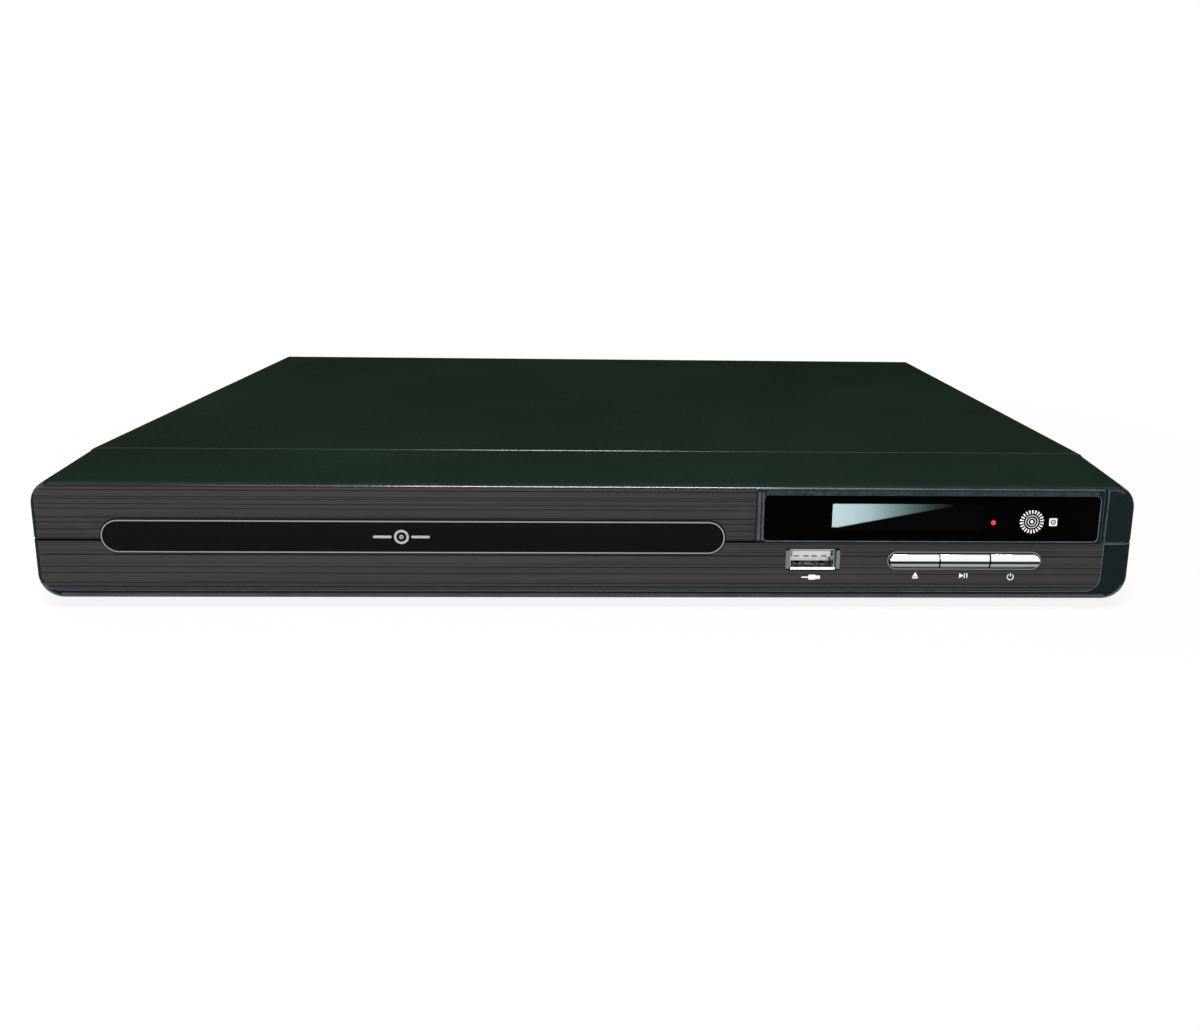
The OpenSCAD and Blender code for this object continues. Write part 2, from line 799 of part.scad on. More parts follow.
module usb_shell() color("lightgray") in_case() {
    translate([usb_x, 0, usb_z]) difference() {
        along_y(usb_y, board_y - usb_y) rounded(usb_w, usb_h, 0.5);
        along_y(usb_y - 1, board_y - usb_y - 1) rounded(usb_w - 2 * usb_wall, usb_h - 2 * usb_wall, 0.3);
        for (x = [-3.6, 3.6])
            translate([x, usb_y + 5, -5]) linear_extrude(height = 10) rounded(1.8, 3.4, 0.4);
    }
}

module usb_insulator() color("white") in_case() {
    translate([usb_x, 0, usb_z]) {
        along_y(usb_y + 9, board_y - usb_y - 11)
            rounded(usb_w - 2 * usb_wall, usb_h - 2 * usb_wall, 0.3);
        box(-5.6, 5.6, usb_y + 1.2, usb_y + 9, 0.1, 1.9);
    }
}

module usb_contacts() color("gold") in_case() {
    for (x = [-3.5, -1, 1, 3.5])
        translate([usb_x + x, 0, usb_z]) box(-0.5, 0.5, usb_y + 1.6, usb_y + 9, -0.1, 0.1);
}

// ---- loader frame and clamp ----------------------------------------------

ear_h = 2;
bridge_half = 15;
bridge_screw_x = frame_x + loader_wall / 2;
bracket_x = lift_x + 1;
bracket_t = 3;

module frame_side() {
    // side wall with the ledge that carries the tray and the tabs above it
    box(frame_x, frame_x + loader_wall, frame_y0, frame_y1, frame_low, frame_top);
    box(frame_x - 4, frame_x, frame_y0, frame_y1, tray_low - slide_gap - 1.6, tray_low - slide_gap);
    for (y = [frame_y0 + 10, 100, frame_y1 - 20])
        box(frame_x - 3, frame_x, y, y + 12, tray_top + slide_gap, frame_top);
    for (spot = [loader_ears[1], loader_ears[3]])
        translate([spot[0], spot[1], frame_low]) {
            cylinder(r = 4.6, h = ear_h);
            box(frame_x - spot[0], 0, -4.6, 4.6, 0, ear_h);
        }
}

module axle(x, y, top) {
    translate([x, y, deck_top - 0.2]) {
        cylinder(r = 3, h = level_1 - deck_top);
        cylinder(r = axle_r, h = top - deck_top + 0.2);
    }
}

module loader_frame() color("dimgray") in_loader() {
    difference() {
        union() {
            for (side = [-1, 1]) scale([side, 1, 1]) frame_side();
            // front deck that carries the gear train
            box(-frame_x, frame_x, frame_y0, deck_y1, deck_low, deck_top);
            // rail for the cam slider
            box(-36, 40, deck_y1 - 2.2, deck_y1, deck_top, base_z + 13);
            // rear cross-member with its end wall
            box(-frame_x, frame_x, lift_y1 + 3, frame_y1, deck_low, deck_top);
            box(-frame_x, frame_x, frame_y1 - loader_wall, frame_y1, frame_low, frame_top - 4);
            // brackets of the traverse pivot
            for (side = [-1, 1])
                scale([side, 1, 1]) {
                    box(bracket_x, bracket_x + bracket_t, pivot_y - 6, lift_y1 + 4, deck_low, pivot_z + 4);
                    box(bracket_x, frame_x, pivot_y - 6, lift_y1 + 4, deck_low, deck_top);
                }
            translate([load_motor_x, load_motor_y, deck_low]) cylinder(r = load_motor_r + 1.8, h = 4.2);
        }
        translate([load_motor_x, load_motor_y, frame_low - 4]) cylinder(r = load_motor_r + 0.15, h = 20);
        for (spot = loader_ears)
            translate([spot[0], spot[1], frame_low - 1]) cylinder(r = 1.5, h = 6);
        translate([-frame_x, pivot_y, pivot_z]) rotate([0, 90, 0])
            cylinder(r = pivot_r + pin_fit, h = 2 * frame_x);
        for (x = [-1, 1])
            translate([x * bridge_screw_x, disc_y, frame_top - 4]) cylinder(r = 0.75, h = 5);
    }
    axle(gear_x, gear_y, level_3 + gear_t);
    axle(second_x, gear_y, level_2 + gear_t);
}

module loader_screws() color("silver") in_loader() {
    for (spot = loader_ears)
        translate([spot[0], spot[1], frame_low + ear_h]) screw(2.6, 1.6, 1.2, 5);
    for (x = [-1, 1])
        translate([x * bridge_screw_x, disc_y, bridge_z + bridge_t]) screw(1.8, 1, 0.7, 5);
}

module clamp_bridge() color("gray") in_loader() {
    difference() {
        union() {
            translate([0, disc_y, bridge_z]) linear_extrude(height = bridge_t) difference() {
                union() {
                    square([2 * (frame_x + loader_wall), bridge_half], center = true);
                    circle(r = 19);
                }
                circle(r = 10);
            }
            for (x = [-1, 1])
                translate([x * (frame_x + loader_wall / 2), disc_y, frame_top])
                    linear_extrude(height = bridge_z - frame_top)
                        square([loader_wall, bridge_half], center = true);
            // stiffening ribs and the collar round the clamper
            for (x = [-1, 1], y = [-1, 1])
                translate([x * (frame_x + 16) / 2, disc_y + y * (bridge_half / 2 - 0.6), bridge_z + bridge_t])
                    linear_extrude(height = 1.6) square([frame_x - 20, 1.2], center = true);
            translate([0, disc_y, bridge_z + bridge_t]) ring(18, 16.6, 1.8);
        }
        for (x = [-1, 1])
            translate([x * bridge_screw_x, disc_y, frame_top - 1]) cylinder(r = 0.8, h = 10);
    }
}

module clamper() color("black") in_loader() {
    translate([0, disc_y, 0]) {
        translate([0, 0, seat_z + disc_t + 0.4]) difference() {
            cylinder(r = 13, h = bridge_z - seat_z - disc_t - 0.4 - slide_gap);
            translate([0, 0, -1]) cylinder(r = hub_r + 0.6, h = 2);
        }
        translate([0, 0, bridge_z - 0.5]) cylinder(r = 9.4, h = bridge_t + 1);
        translate([0, 0, bridge_z + bridge_t + slide_gap]) cylinder(r = 12.4, h = 1.2);
    }
}

// ---- gear train ----------------------------------------------------------

function roll_angle(r, base) = r > base ? tan(acos(base / r)) * 180 / PI - acos(base / r) : 0;

// Half the angle of one tooth at radius r
function half_tooth(r, teeth, pitch) =
    let (base = pitch * cos(20))
    90 / teeth - backlash / 4 / pitch * 180 / PI + roll_angle(pitch, base) - roll_angle(r, base);

module gear_outline(teeth, mod) {
    pitch = mod * teeth / 2;
    low = pitch - 1.25 * mod;
    base = max(low + 0.01, pitch * cos(20));
    radii = [low, base, pitch, pitch + mod];
    last = 2 * len(radii) - 1;
    polygon([
        for (i = [0 : teeth - 1], j = [0 : last])
            let (
                rising = j <= last / 2,
                r = radii[rising ? j : last - j],
                turn = 360 / teeth * i + (rising ? -1 : 1) * half_tooth(r, teeth, pitch)
            )
            [r * cos(turn), r * sin(turn)]
    ]);
}

module pulley(r, flange, h) {
    rim = (h - belt_t - 0.5) / 2;
    cylinder(r = r, h = h);
    cylinder(r = flange, h = rim);
    translate([0, 0, h - rim]) cylinder(r = flange, h = rim);
}

pulley_h = 2.8;
belt_z = level_2 + pulley_h / 2 - belt_t / 2;

module drive_gear() color("ivory") in_loader() {
    translate([gear_x, gear_y, 0]) difference() {
        union() {
            translate([0, 0, level_1]) linear_extrude(height = gear_t) gear_outline(wheel_n, gear_mod);
            translate([0, 0, level_1]) cylinder(r = 4.6, h = level_3 - level_1 + 0.5);
            translate([0, 0, level_3]) linear_extrude(height = gear_t) gear_outline(pinion_n, rack_mod);
        }
        translate([0, 0, level_1 - 1]) cylinder(r = axle_r + pin_fit, h = 20);
        for (i = [0 : 4])
            rotate(i * 72 + 36) translate([10, 0, level_1 - 1]) cylinder(r = 3.2, h = gear_t + 2);
    }
}

module pulley_gear() color("ivory") in_loader() {
    translate([second_x, gear_y, 0]) difference() {
        union() {
            translate([0, 0, level_1]) linear_extrude(height = level_2 - level_1 + 0.2)
                rotate(180 / small_n) gear_outline(small_n, gear_mod);
            translate([0, 0, level_2]) pulley(pulley_r, pulley_r + pulley_flange, pulley_h);
        }
        translate([0, 0, level_1 - 1]) cylinder(r = axle_r + pin_fit, h = 20);
    }
}

load_motor_top = level_2 - 0.4;

module motor_pulley() color("ivory") in_loader() {
    translate([load_motor_x, load_motor_y, 0]) {
        translate([0, 0, level_2]) pulley(motor_pulley_r, motor_pulley_r + pulley_flange, pulley_h);
        translate([0, 0, load_motor_top - 4]) cylinder(r = 1, h = 5);
    }
}

module loading_motor() color("silver") in_loader() {
    translate([load_motor_x, load_motor_y, 0]) difference() {
        union() {
            translate([0, 0, floor_z + 0.4]) cylinder(r = load_motor_r, h = load_motor_top - floor_z - 0.4);
            translate([0, 0, deck_low + 4.2]) cylinder(r = load_motor_r + 1, h = 0.6);
        }
        translate([0, 0, load_motor_top - 5]) cylinder(r = 1 + pin_fit, h = 6);
    }
}

// Outline of the belt at a distance out from the pulley grooves
module belt_outline(out) {
    hull() {
        translate([load_motor_x, load_motor_y]) circle(r = motor_pulley_r + out);
        translate([second_x, gear_y]) circle(r = pulley_r + out);
    }
}

module drive_belt() color("black") in_loader() {
    translate([0, 0, belt_z]) linear_extrude(height = belt_t) difference() {
        belt_outline(slide_gap + belt_t);
        belt_outline(slide_gap);
    }
}

// Slider whose slanted slot lowers the pin of the traverse
module cam_slider() color("ivory") in_loader() {
    slot_r = cam_pin_r + slide_gap;
    rail_top = base_z + 13;
    difference() {
        union() {
            box(-30, 24, cam_y0, cam_y0 + cam_t, cam_pin_z - cam_drop - slot_r - 1.6, rail_top + 2);
            box(-30, 24, deck_y1 - 2.2 - slide_gap - 1, cam_y0 + 0.5, rail_top + slide_gap, rail_top + 2);
            box(-30, 24, deck_y1 - 2.2 - slide_gap - 1, deck_y1 - 2.2 - slide_gap,
                rail_top - 1.6, rail_top + 0.6);
        }
        along_y(cam_y0 - 1, cam_t + 2) hull() {
            translate([0.5, cam_pin_z]) circle(r = slot_r);
            translate([-cam_travel - 0.5, cam_pin_z - cam_drop]) circle(r = slot_r);
        }
        along_y(cam_y0 - 1, cam_t + 2) translate([13, cam_pin_z]) stadium(12, 5);
    }
}

// ---- tray and door -------------------------------------------------------

module rack_teeth(y0, count) {
    pitch = PI * rack_mod;
    top_half = pitch / 4 - rack_mod * tan(20) - backlash / 4;
    foot_half = pitch / 4 + rack_mod * 1.2 * tan(20) - backlash / 4;
    for (i = [0 : count - 1])
        translate([rack_x, y0 + (i + 0.5) * pitch]) polygon([
            [rack_mod * 1.2 + 0.1, -foot_half], [-rack_mod, -top_half],
            [-rack_mod, top_half], [rack_mod * 1.2 + 0.1, foot_half]
        ]);
}

module tray_outline() {
    r = 5;
    translate([0, tray_y0 + tray_l / 2]) rounded(tray_w, tray_l, r);
    translate([-tray_w / 2, tray_y0]) square([tray_w, 2 * r]);
}

rack_back = PI * rack_mod * 3;
rack_n = ceil((tray_travel + 2 * rack_back) / (PI * rack_mod));

module tray() color("black") in_loader() {
    difference() {
        union() {
            translate([0, 0, tray_under]) linear_extrude(height = tray_top - tray_under) tray_outline();
            // side rails, the wall behind the door and the rack
            for (x = [-1, 1])
                translate([x * (tray_w / 2 - 1.2), tray_y0 + tray_l / 2, tray_low])
                    linear_extrude(height = tray_h / 2) square([2.4, tray_l - 10], center = true);
            box(-tray_w / 2, tray_w / 2, tray_y0, tray_y0 + 2.4, tray_low, tray_top);
            translate([0, 0, tray_low + 0.2]) linear_extrude(height = tray_under - tray_low) {
                rack_teeth(gear_y - rack_back, rack_n);
                translate([rack_x + rack_mod * 1.2, gear_y - rack_back])
                    square([2.2, rack_n * PI * rack_mod]);
            }
        }
        translate([0, disc_y, recess_z]) cylinder(r = disc_r, h = 10, $fn = 96);
        translate([0, disc_y, recess_z - small_recess_d]) cylinder(r = small_disc_r, h = 10, $fn = 96);
        translate([0, disc_y, tray_under - 1]) cylinder(r = slot_w / 2, h = 20);
        box(-slot_w / 2, slot_w / 2, disc_y, tray_y0 + tray_l + 1, tray_under - 1, tray_top + 1);
        // finger notches beside the disc and drains in the recess
        for (x = [-1, 1])
            translate([x * (disc_r - 6), disc_y, tray_under - 1]) cylinder(r = 7.5, h = 3);
        for (x = [-1, 1], y = [-26, -8, 10])
            translate([x * 50.5, disc_y + y, tray_under - 1]) linear_extrude(height = 6) stadium(4.4, 2);
    }
}

panel_t = 0.8;
panel_in = 2 * trim_w + 1.2;

module tray_door() color("black") in_loader() {
    difference() {
        translate([0, 0, door_z]) along_y(-door_out, tray_y0 + door_out) stadium(door_w, door_h);
        translate([0, 0, door_z]) along_y(-door_out - 1, 1 + trim_d) difference() {
            stadium(door_w + 1, door_h + 1);
            stadium(door_w - 2 * trim_w, door_h - 2 * trim_w);
        }
        translate([0, 0, door_z]) along_y(-door_out - 1, 1 + panel_t)
            stadium(door_w - panel_in, door_h - panel_in);
    }
}

module door_trim() color("silver") in_loader() {
    translate([0, 0, door_z]) along_y(-door_out, trim_d) difference() {
        stadium(door_w, door_h);
        stadium(door_w - 2 * trim_w, door_h - 2 * trim_w);
    }
}

module door_panel() color("black") in_loader() {
    translate([0, 0, door_z]) along_y(-door_out, panel_t)
        stadium(door_w - panel_in, door_h - panel_in);
}

// ---- traverse ------------------------------------------------------------

module lift_frame() color("dimgray") in_loader() {
    difference() {
        union() {
            difference() {
                box(-lift_x, lift_x, lift_y0, lift_y1, lift_low, lift_low + lift_h);
                box(-lift_x + lift_bar, lift_x - lift_bar, lift_y0 + lift_bar, lift_y1 - lift_bar,
                    lift_low - 1, lift_low + lift_h + 1);
            }
            for (x = [-1, 1], y = damper_y)
                translate([x * (damper_x + 2), y, lift_low + 0.6])
                    cube([12, 11, 1.2], center = true);
            translate([-lift_x - bracket_t - 2, pivot_y, pivot_z])
                rotate([0, 90, 0]) cylinder(r = pivot_r, h = 2 * (lift_x + bracket_t + 2));
        }
        box(-lift_x + lift_bar, lift_x - lift_bar, lift_y0 + lift_bar, lift_y1 - lift_bar,
            lift_low + 1.2, lift_low + lift_h + 1);
        for (x = [-1, 1], y = damper_y)
            translate([x * damper_x, y, lift_low - 1]) cylinder(r = 1.2, h = 4);
    }
    translate([0, cam_y0, cam_pin_z]) rotate([-90, 0, 0])
        cylinder(r = cam_pin_r, h = lift_y0 - cam_y0 + 1);
}

module plate_outline() {
    difference() {
        square([2 * (lift_x - lift_bar) - 1.6, lift_y1 - lift_y0 - 2 * lift_bar - 2], center = true);
        translate([0, 9]) rounded(26, 62, 3);
        for (x = [-1, 1]) translate([x * 33, -8]) rounded(6, 30, 2);
    }
}

module traverse_plate() color("lightgray") in_loader() {
    difference() {
        union() {
            translate([0, (lift_y0 + lift_y1) / 2, plate_z])
                linear_extrude(height = plate_t) plate_outline();
            // hooks that hold the ends of the guide rods and the lead screw
            for (x = [-rod_x, rod_x], y = [rod_y0 - 1, rod_y1 - 2])
                box(x - 2.6, x + 2.6, y, y + 3, plate_z + 0.5, rod_z + 2.4);
            box(screw_x - 2.6, screw_x + 2.6, rod_y0 - 1, rod_y0 + 2, plate_z + 0.5, rod_z + 2.4);
        }
        for (x = [-1, 1], y = damper_y)
            translate([x * damper_x, y, plate_z - 1]) cylinder(r = damper_r - 1.2, h = 4);
        for (x = [-rod_x, rod_x])
            translate([x, rod_y0 - 5, rod_z]) rotate([-90, 0, 0]) cylinder(r = rod_r, h = 90);
        translate([screw_x, rod_y0 - 5, rod_z]) rotate([-90, 0, 0]) cylinder(r = 1 + pin_fit, h = 20);
    }
}

module dampers() color("black") in_loader() {
    for (x = [-1, 1], y = damper_y)
        translate([x * damper_x, y, lift_low + 1.2]) difference() {
            cylinder(r = damper_r, h = plate_z + plate_t - lift_low + 0.2);
            translate([0, 0, plate_z - lift_low - 1.2]) ring(damper_r + 1, damper_r - 1.2, plate_t);
            translate([0, 0, -1]) cylinder(r = 1.2, h = 8);
        }
}

spindle_low = plate_z + plate_t;
table_z = seat_z - table_t;
spindle_top = table_z - 0.5;

module spindle_motor() color("silver") in_loader() {
    translate([0, disc_y, 0]) difference() {
        union() {
            translate([0, 0, spindle_low]) cylinder(r = motor_r, h = 1.4);
            translate([0, 0, spindle_low]) cylinder(r = motor_r - 1, h = spindle_top - spindle_low - 0.8);
            translate([0, 0, spindle_low]) cylinder(r = 4, h = spindle_top - spindle_low);
        }
        translate([0, 0, spindle_low + 1.6]) cylinder(r = 1.25 + pin_fit, h = 12);
    }
}

module turntable() color("dimgray") in_loader() {
    translate([0, disc_y, 0]) {
        translate([0, 0, table_z]) difference() {
            cylinder(r = table_r, h = table_t);
            translate([0, 0, table_t - 0.3]) ring(table_r - 3.5, hub_r + 1.2, 1);
        }
        translate([0, 0, seat_z - 0.5]) cylinder(r = hub_r, h = 1.3);
        translate([0, 0, seat_z + 0.8]) cylinder(r1 = hub_r, r2 = hub_r - 2, h = 1.2);
        translate([0, 0, spindle_low + 2.2]) cylinder(r = 1.25, h = table_z - spindle_low - 2);
    }
}

module guide_rods() color("silver") in_loader() {
    for (x = [-rod_x, rod_x])
        translate([x, rod_y0, rod_z]) rotate([-90, 0, 0]) cylinder(r = rod_r, h = rod_y1 - rod_y0);
}

lens_z = seat_z - 1.9;
sled_low = rod_z - 3.4;
sled_top = tray_under - 0.6;

module pickup_sled() color("darkslategray") in_loader() {
    difference() {
        union() {
            box(-sled_x, sled_x, sled_y0, sled_y0 + sled_l, sled_low + 0.9, sled_top - 1);
            box(-12, 12, sled_y0 + 1, sled_y0 + sled_l - 3, sled_low, sled_top);
            // arm with the nut that rides on the lead screw
            box(sled_x - 1, screw_x + 2.8, sled_y0 + 1, sled_y0 + 1 + nut_l, rod_z - 2.6, rod_z + 2.6);
        }
        for (x = [-rod_x, rod_x])
            translate([x, sled_y0 - 1, rod_z])
                rotate([-90, 0, 0]) cylinder(r = rod_r + pin_fit, h = sled_l + 2);
        translate([screw_x, sled_y0 - 1, rod_z]) rotate([-90, 0, 0]) cylinder(r = screw_r + pin_fit, h = 12);
        translate([0, sled_y0 + sled_l / 2 - 1, sled_top - 1.2])
            linear_extrude(height = 3) rounded(13.2, 13.2, 2);
    }
}

module pickup_lens() color("lightblue") in_loader() {
    translate([0, sled_y0 + sled_l / 2 - 1, sled_top - 1.2]) {
        linear_extrude(height = 1.6) rounded(12.6, 12.6, 1.8);
        translate([0, 0, 1.5]) cylinder(r = 3.2, h = lens_z - sled_top - 0.3);
        translate([0, 0, lens_z - sled_top + 1.0]) cylinder(r1 = 2.4, r2 = 1.2, h = 0.5);
    }
}

sled_motor_y = sled_y0 + 1 + nut_l + sled_travel + 5.5;
sled_motor_l = 13.5;

module sled_motor() color("silver") in_loader() {
    difference() {
        union() {
            translate([screw_x, sled_motor_y, rod_z]) rotate([-90, 0, 0]) intersection() {
                cylinder(r = 6, h = sled_motor_l);
                translate([0, 0, 8]) cube([14, 7.2, 20], center = true);
            }
            box(screw_x - 3, screw_x + 3, sled_motor_y + 1, sled_motor_y + sled_motor_l - 1,
                plate_z + plate_t, rod_z);
        }
        translate([screw_x, sled_motor_y - 1, rod_z]) rotate([-90, 0, 0]) cylinder(r = 1 + pin_fit, h = 6);
    }
}

module lead_screw() color("silver") in_loader() {
    translate([screw_x, 0, rod_z]) rotate([-90, 0, 0]) {
        translate([0, 0, rod_y0 + 2.3]) cylinder(r = screw_r, h = sled_motor_y - rod_y0 - 2.8);
        translate([0, 0, rod_y0 - 1.4]) cylinder(r = 1, h = sled_motor_y - rod_y0 + 5);
    }
}

// ---- boards, sockets and wiring ------------------------------------------

module drilled_board(x0, x1, y0, y1) {
    difference() {
        box(x0, x1, y0, y1, board_z, board_top);
        for (spot = board_spots)
            translate([spot[0], spot[1], board_z - 1]) cylinder(r = 1.5, h = board_t + 2);
    }
}

module main_board() color("darkgreen") in_case() {
    drilled_board(main_x0, main_x1, main_y0, board_y1);
}

module main_chips() color("black") in_case() {
    // chips, placed from the rear edge of the board
    translate([main_x0, board_y1, board_top]) {
        box(22, 46, -75, -51, 0, 1.8);
        for (x = [23, 35]) box(x, x + 10, -46, -37, 0, 1.2);
        box(8, 16, -63, -51, 0, 1.4);
        box(6, 18, -47, -33, 0, 1.4);
    }
    // connectors, placed from its front edge
    translate([main_x0, main_y0, board_top]) {
        box(3, 7, 14, 36, 0, 3.4);
        box(24, 40, 2.5, 7, 0, 5);
    }
    // connector of the supply lead, at its right edge
    translate([main_x1, main_y0, board_top]) box(-7, -2, 12, 30, 0, 5);
}

module power_board() color("peru") in_case() {
    drilled_board(power_x0, power_x1, power_y0, board_y1);
}

module transformer() color("gold") in_case() translate([power_x0, power_y0, board_top]) {
    box(14, 36, 42, 66, 0, 4);
    box(12, 38, 46, 62, 4, 17);
    box(16, 34, 44, 64, 6, 15);
}

module capacitors() color("steelblue") in_case() {
    // x, y, radius and height of each can
    cans = [[24, 82, 8, 17], [38, 72, 5, 14], [8, 74, 4, 12], [8, 90, 4, 12], [20, 16, 5, 13]];
    for (can = cans)
        translate([power_x0 + can[0], power_y0 + can[1], board_top]) cylinder(r = can[2], h = can[3]);
}

module heat_sink() color("silver") in_case() translate([power_x0, power_y0, board_top]) {
    box(4, 6, 24, 60, 0, 20);
    for (i = [0 : 7])
        box(-0.4, 4.5, 25 + i * 4.6, 26.2 + i * 4.6, 3, 20);
}

module mains_inlet() color("black") in_case() {
    difference() {
        box(inlet_x - inlet_w / 2, inlet_x + inlet_w / 2, rear_out - 17, case_d + 0.4,
            inlet_z - inlet_h / 2, inlet_z + inlet_h / 2);
        translate([inlet_x, 0, inlet_z]) along_y(case_d - 11.5, 20) stadium(16, 8.2);
    }
    box(inlet_x - inlet_w / 2, inlet_x + inlet_w / 2, rear_out - 16, rear_out - 5,
        board_top, inlet_z - inlet_h / 2 + 0.5);
}

module inlet_pins() color("gold") in_case() {
    for (x = [-4.3, 4.3])
        translate([inlet_x + x, case_d - 11.5, inlet_z]) rotate([-90, 0, 0]) cylinder(r = 1.2, h = 9);
}

jack_seat = 12;
sleeve_wall = 0.5;
sleeve_step = 0.25;
sleeve_out = case_d + jack_out - rear_out - lip_gap;
sleeve_l = jack_seat + sheet + lip_gap + sleeve_out;

module each_jack() {
    for (i = [0 : jack_count - 1])
        translate([jack_x0 + i * jack_pitch, rear_in - jack_seat, jack_z]) rotate([-90, 0, 0]) children();
}

module jack_block() color("black") in_case() {
    difference() {
        box(jack_x0 - jack_pitch / 2, jack_x0 + (jack_count - 0.5) * jack_pitch,
            rear_in - jack_seat - 2, rear_in - lip_gap, board_top, jack_z + 7);
        each_jack() cylinder(r = jack_r - sleeve_step, h = jack_seat + 2);
    }
}

module jack_sleeves() color("silver") in_case() {
    each_jack() difference() {
        union() {
            cylinder(r = jack_r - sleeve_step, h = sleeve_l - 1);
            translate([0, 0, sleeve_l - sleeve_out]) cylinder(r = jack_r, h = sleeve_out);
        }
        translate([0, 0, -1]) cylinder(r = jack_r - sleeve_wall, h = sleeve_l + 2);
    }
}

module jack_inserts() color("yellow") in_case() {
    each_jack() difference() {
        cylinder(r = jack_r - sleeve_wall, h = sleeve_l - 1);
        translate([0, 0, 6]) cylinder(r = jack_pin_r, h = sleeve_l);
    }
}

// The edge of a flat cable that runs through a list of points
module flat_cable(points, t) {
    for (i = [1 : len(points) - 1])
        hull() {
            translate(points[i - 1]) circle(d = t, $fn = 12);
            translate(points[i]) circle(d = t, $fn = 12);
        }
}

cable_t = 0.5;
cable_top = board_top + 2.6;

module ribbon_cable() color("white") in_case() {
    // from the side of the loader frame to the connector of the main board
    edge = tray_x + frame_x + loader_wall + cable_t / 2;
    along_y(129, 16) flat_cable([
        [edge, cable_top + 2], [edge + 8, cable_top], [main_x0 + 3 - cable_t / 2, cable_top - 0.4]
    ], cable_t);
}

module wiring() color("gray") in_case() {
    // flat lead from the front board to the main board
    start = board_y + board_t + cable_t;
    lead_z = floor_z + bead_h + 2 * cable_t;
    along_x(main_x0 + 26, 12) flat_cable([
        [start, base_z + 7], [start + 5, base_z + 5.6], [start + 12, lead_z],
        [main_y0 - 12, lead_z], [main_y0 - 4, cable_top], [main_y0 + 2.5 - cable_t, cable_top]
    ], 2 * cable_t);
    // supply lead from the power board to the main board
    along_y(127, 9) flat_cable([
        [main_x1 - 2 + cable_t, cable_top], [power_x0 - 1, cable_top]
    ], 2 * cable_t);
}

module board_screws() color("silver") in_case() {
    for (spot = board_spots)
        translate([spot[0], spot[1], board_top]) screw(2.4, 1.5, 1.2, 5);
    for (spot = concat(upper_posts, lower_posts))
        translate([spot[0], board_y + board_t, spot[1]]) rotate([-90, 0, 0]) screw(2.2, 1.4, 0.95, 5);
}

// ---- assembly ------------------------------------------------------------

top_cover();
chassis_base();
cover_screws();
feet();
foot_pads();
front_bezel_upper();
front_bezel_lower();
fascia_upper();
fascia_lower();
display_lens();
display_module();
front_board();
ir_receiver();
standby_led();
tact_switches();
button_surround();
eject_button();
play_button();
power_button();
usb_shell();
usb_insulator();
usb_contacts();
loader_frame();
loader_screws();
clamp_bridge();
clamper();
loading_motor();
motor_pulley();
drive_belt();
pulley_gear();
drive_gear();
cam_slider();
tray();
tray_door();
door_trim();
door_panel();
lift_frame();
traverse_plate();
dampers();
spindle_motor();
turntable();
guide_rods();
pickup_sled();
pickup_lens();
sled_motor();
lead_screw();
main_board();
main_chips();
power_board();
transformer();
capacitors();
heat_sink();
mains_inlet();
inlet_pins();
jack_block();
jack_sleeves();
jack_inserts();
ribbon_cable();
wiring();
board_screws();
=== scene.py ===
# %% [markdown]
# # A table-top disc player with a motorised tray
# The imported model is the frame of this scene: every node already stands in its real place,
# in metres, with the front face towards -Y. This notebook gives each of them the surface of
# the real part, and adds the small pieces that are printed, plated or polished.

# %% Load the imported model
import json
import math

import bmesh
import bpy
from mathutils import Matrix, Vector

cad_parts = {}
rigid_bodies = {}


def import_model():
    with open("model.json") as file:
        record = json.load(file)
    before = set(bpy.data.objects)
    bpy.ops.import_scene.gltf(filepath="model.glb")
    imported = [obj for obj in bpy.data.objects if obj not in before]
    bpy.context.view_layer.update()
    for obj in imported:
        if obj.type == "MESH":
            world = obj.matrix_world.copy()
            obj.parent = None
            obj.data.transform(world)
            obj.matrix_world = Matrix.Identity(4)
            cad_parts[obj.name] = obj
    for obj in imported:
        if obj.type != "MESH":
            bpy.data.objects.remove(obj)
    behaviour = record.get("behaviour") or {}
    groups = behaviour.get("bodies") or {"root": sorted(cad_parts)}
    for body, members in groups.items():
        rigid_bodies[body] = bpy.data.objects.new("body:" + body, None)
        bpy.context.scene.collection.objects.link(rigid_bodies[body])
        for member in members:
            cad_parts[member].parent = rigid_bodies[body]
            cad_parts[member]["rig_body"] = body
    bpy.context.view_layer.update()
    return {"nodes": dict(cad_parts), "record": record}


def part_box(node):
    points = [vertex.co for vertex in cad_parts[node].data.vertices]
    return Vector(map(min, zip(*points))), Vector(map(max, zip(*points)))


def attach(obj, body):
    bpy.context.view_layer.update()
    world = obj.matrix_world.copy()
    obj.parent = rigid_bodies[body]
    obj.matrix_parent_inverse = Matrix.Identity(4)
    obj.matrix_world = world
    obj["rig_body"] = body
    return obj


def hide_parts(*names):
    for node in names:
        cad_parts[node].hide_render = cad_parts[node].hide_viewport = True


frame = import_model()
nodes = frame["nodes"]

# %% [markdown]
# Lengths below are written in millimetres and turned to metres with one factor. The planes
# that the new pieces sit on are read from the nodes, so the two always agree: the front of the
# fascia plates, the top of the cover and the front of the window.

# %% Planes and places
MM = 0.001
FACE_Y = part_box("fascia_lower")[0].y
TOP_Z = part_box("top_cover")[1].z
LENS_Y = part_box("display_lens")[0].y
print("front face at y", round(FACE_Y / MM, 2), "mm, top at z", round(TOP_Z / MM, 2), "mm")

# %% [markdown]
# ## Camera
# The camera stands in front of the player and a little above it, close enough for the sides
# of the top to run together. Its place, its turn and the small shift of the frame were worked
# out from the straight edges of the case, so no other setting is needed. Its focal length and
# the centre of its view are in pixels of the finished frame, its angles in radians, and its
# place is measured from the front face and the top.

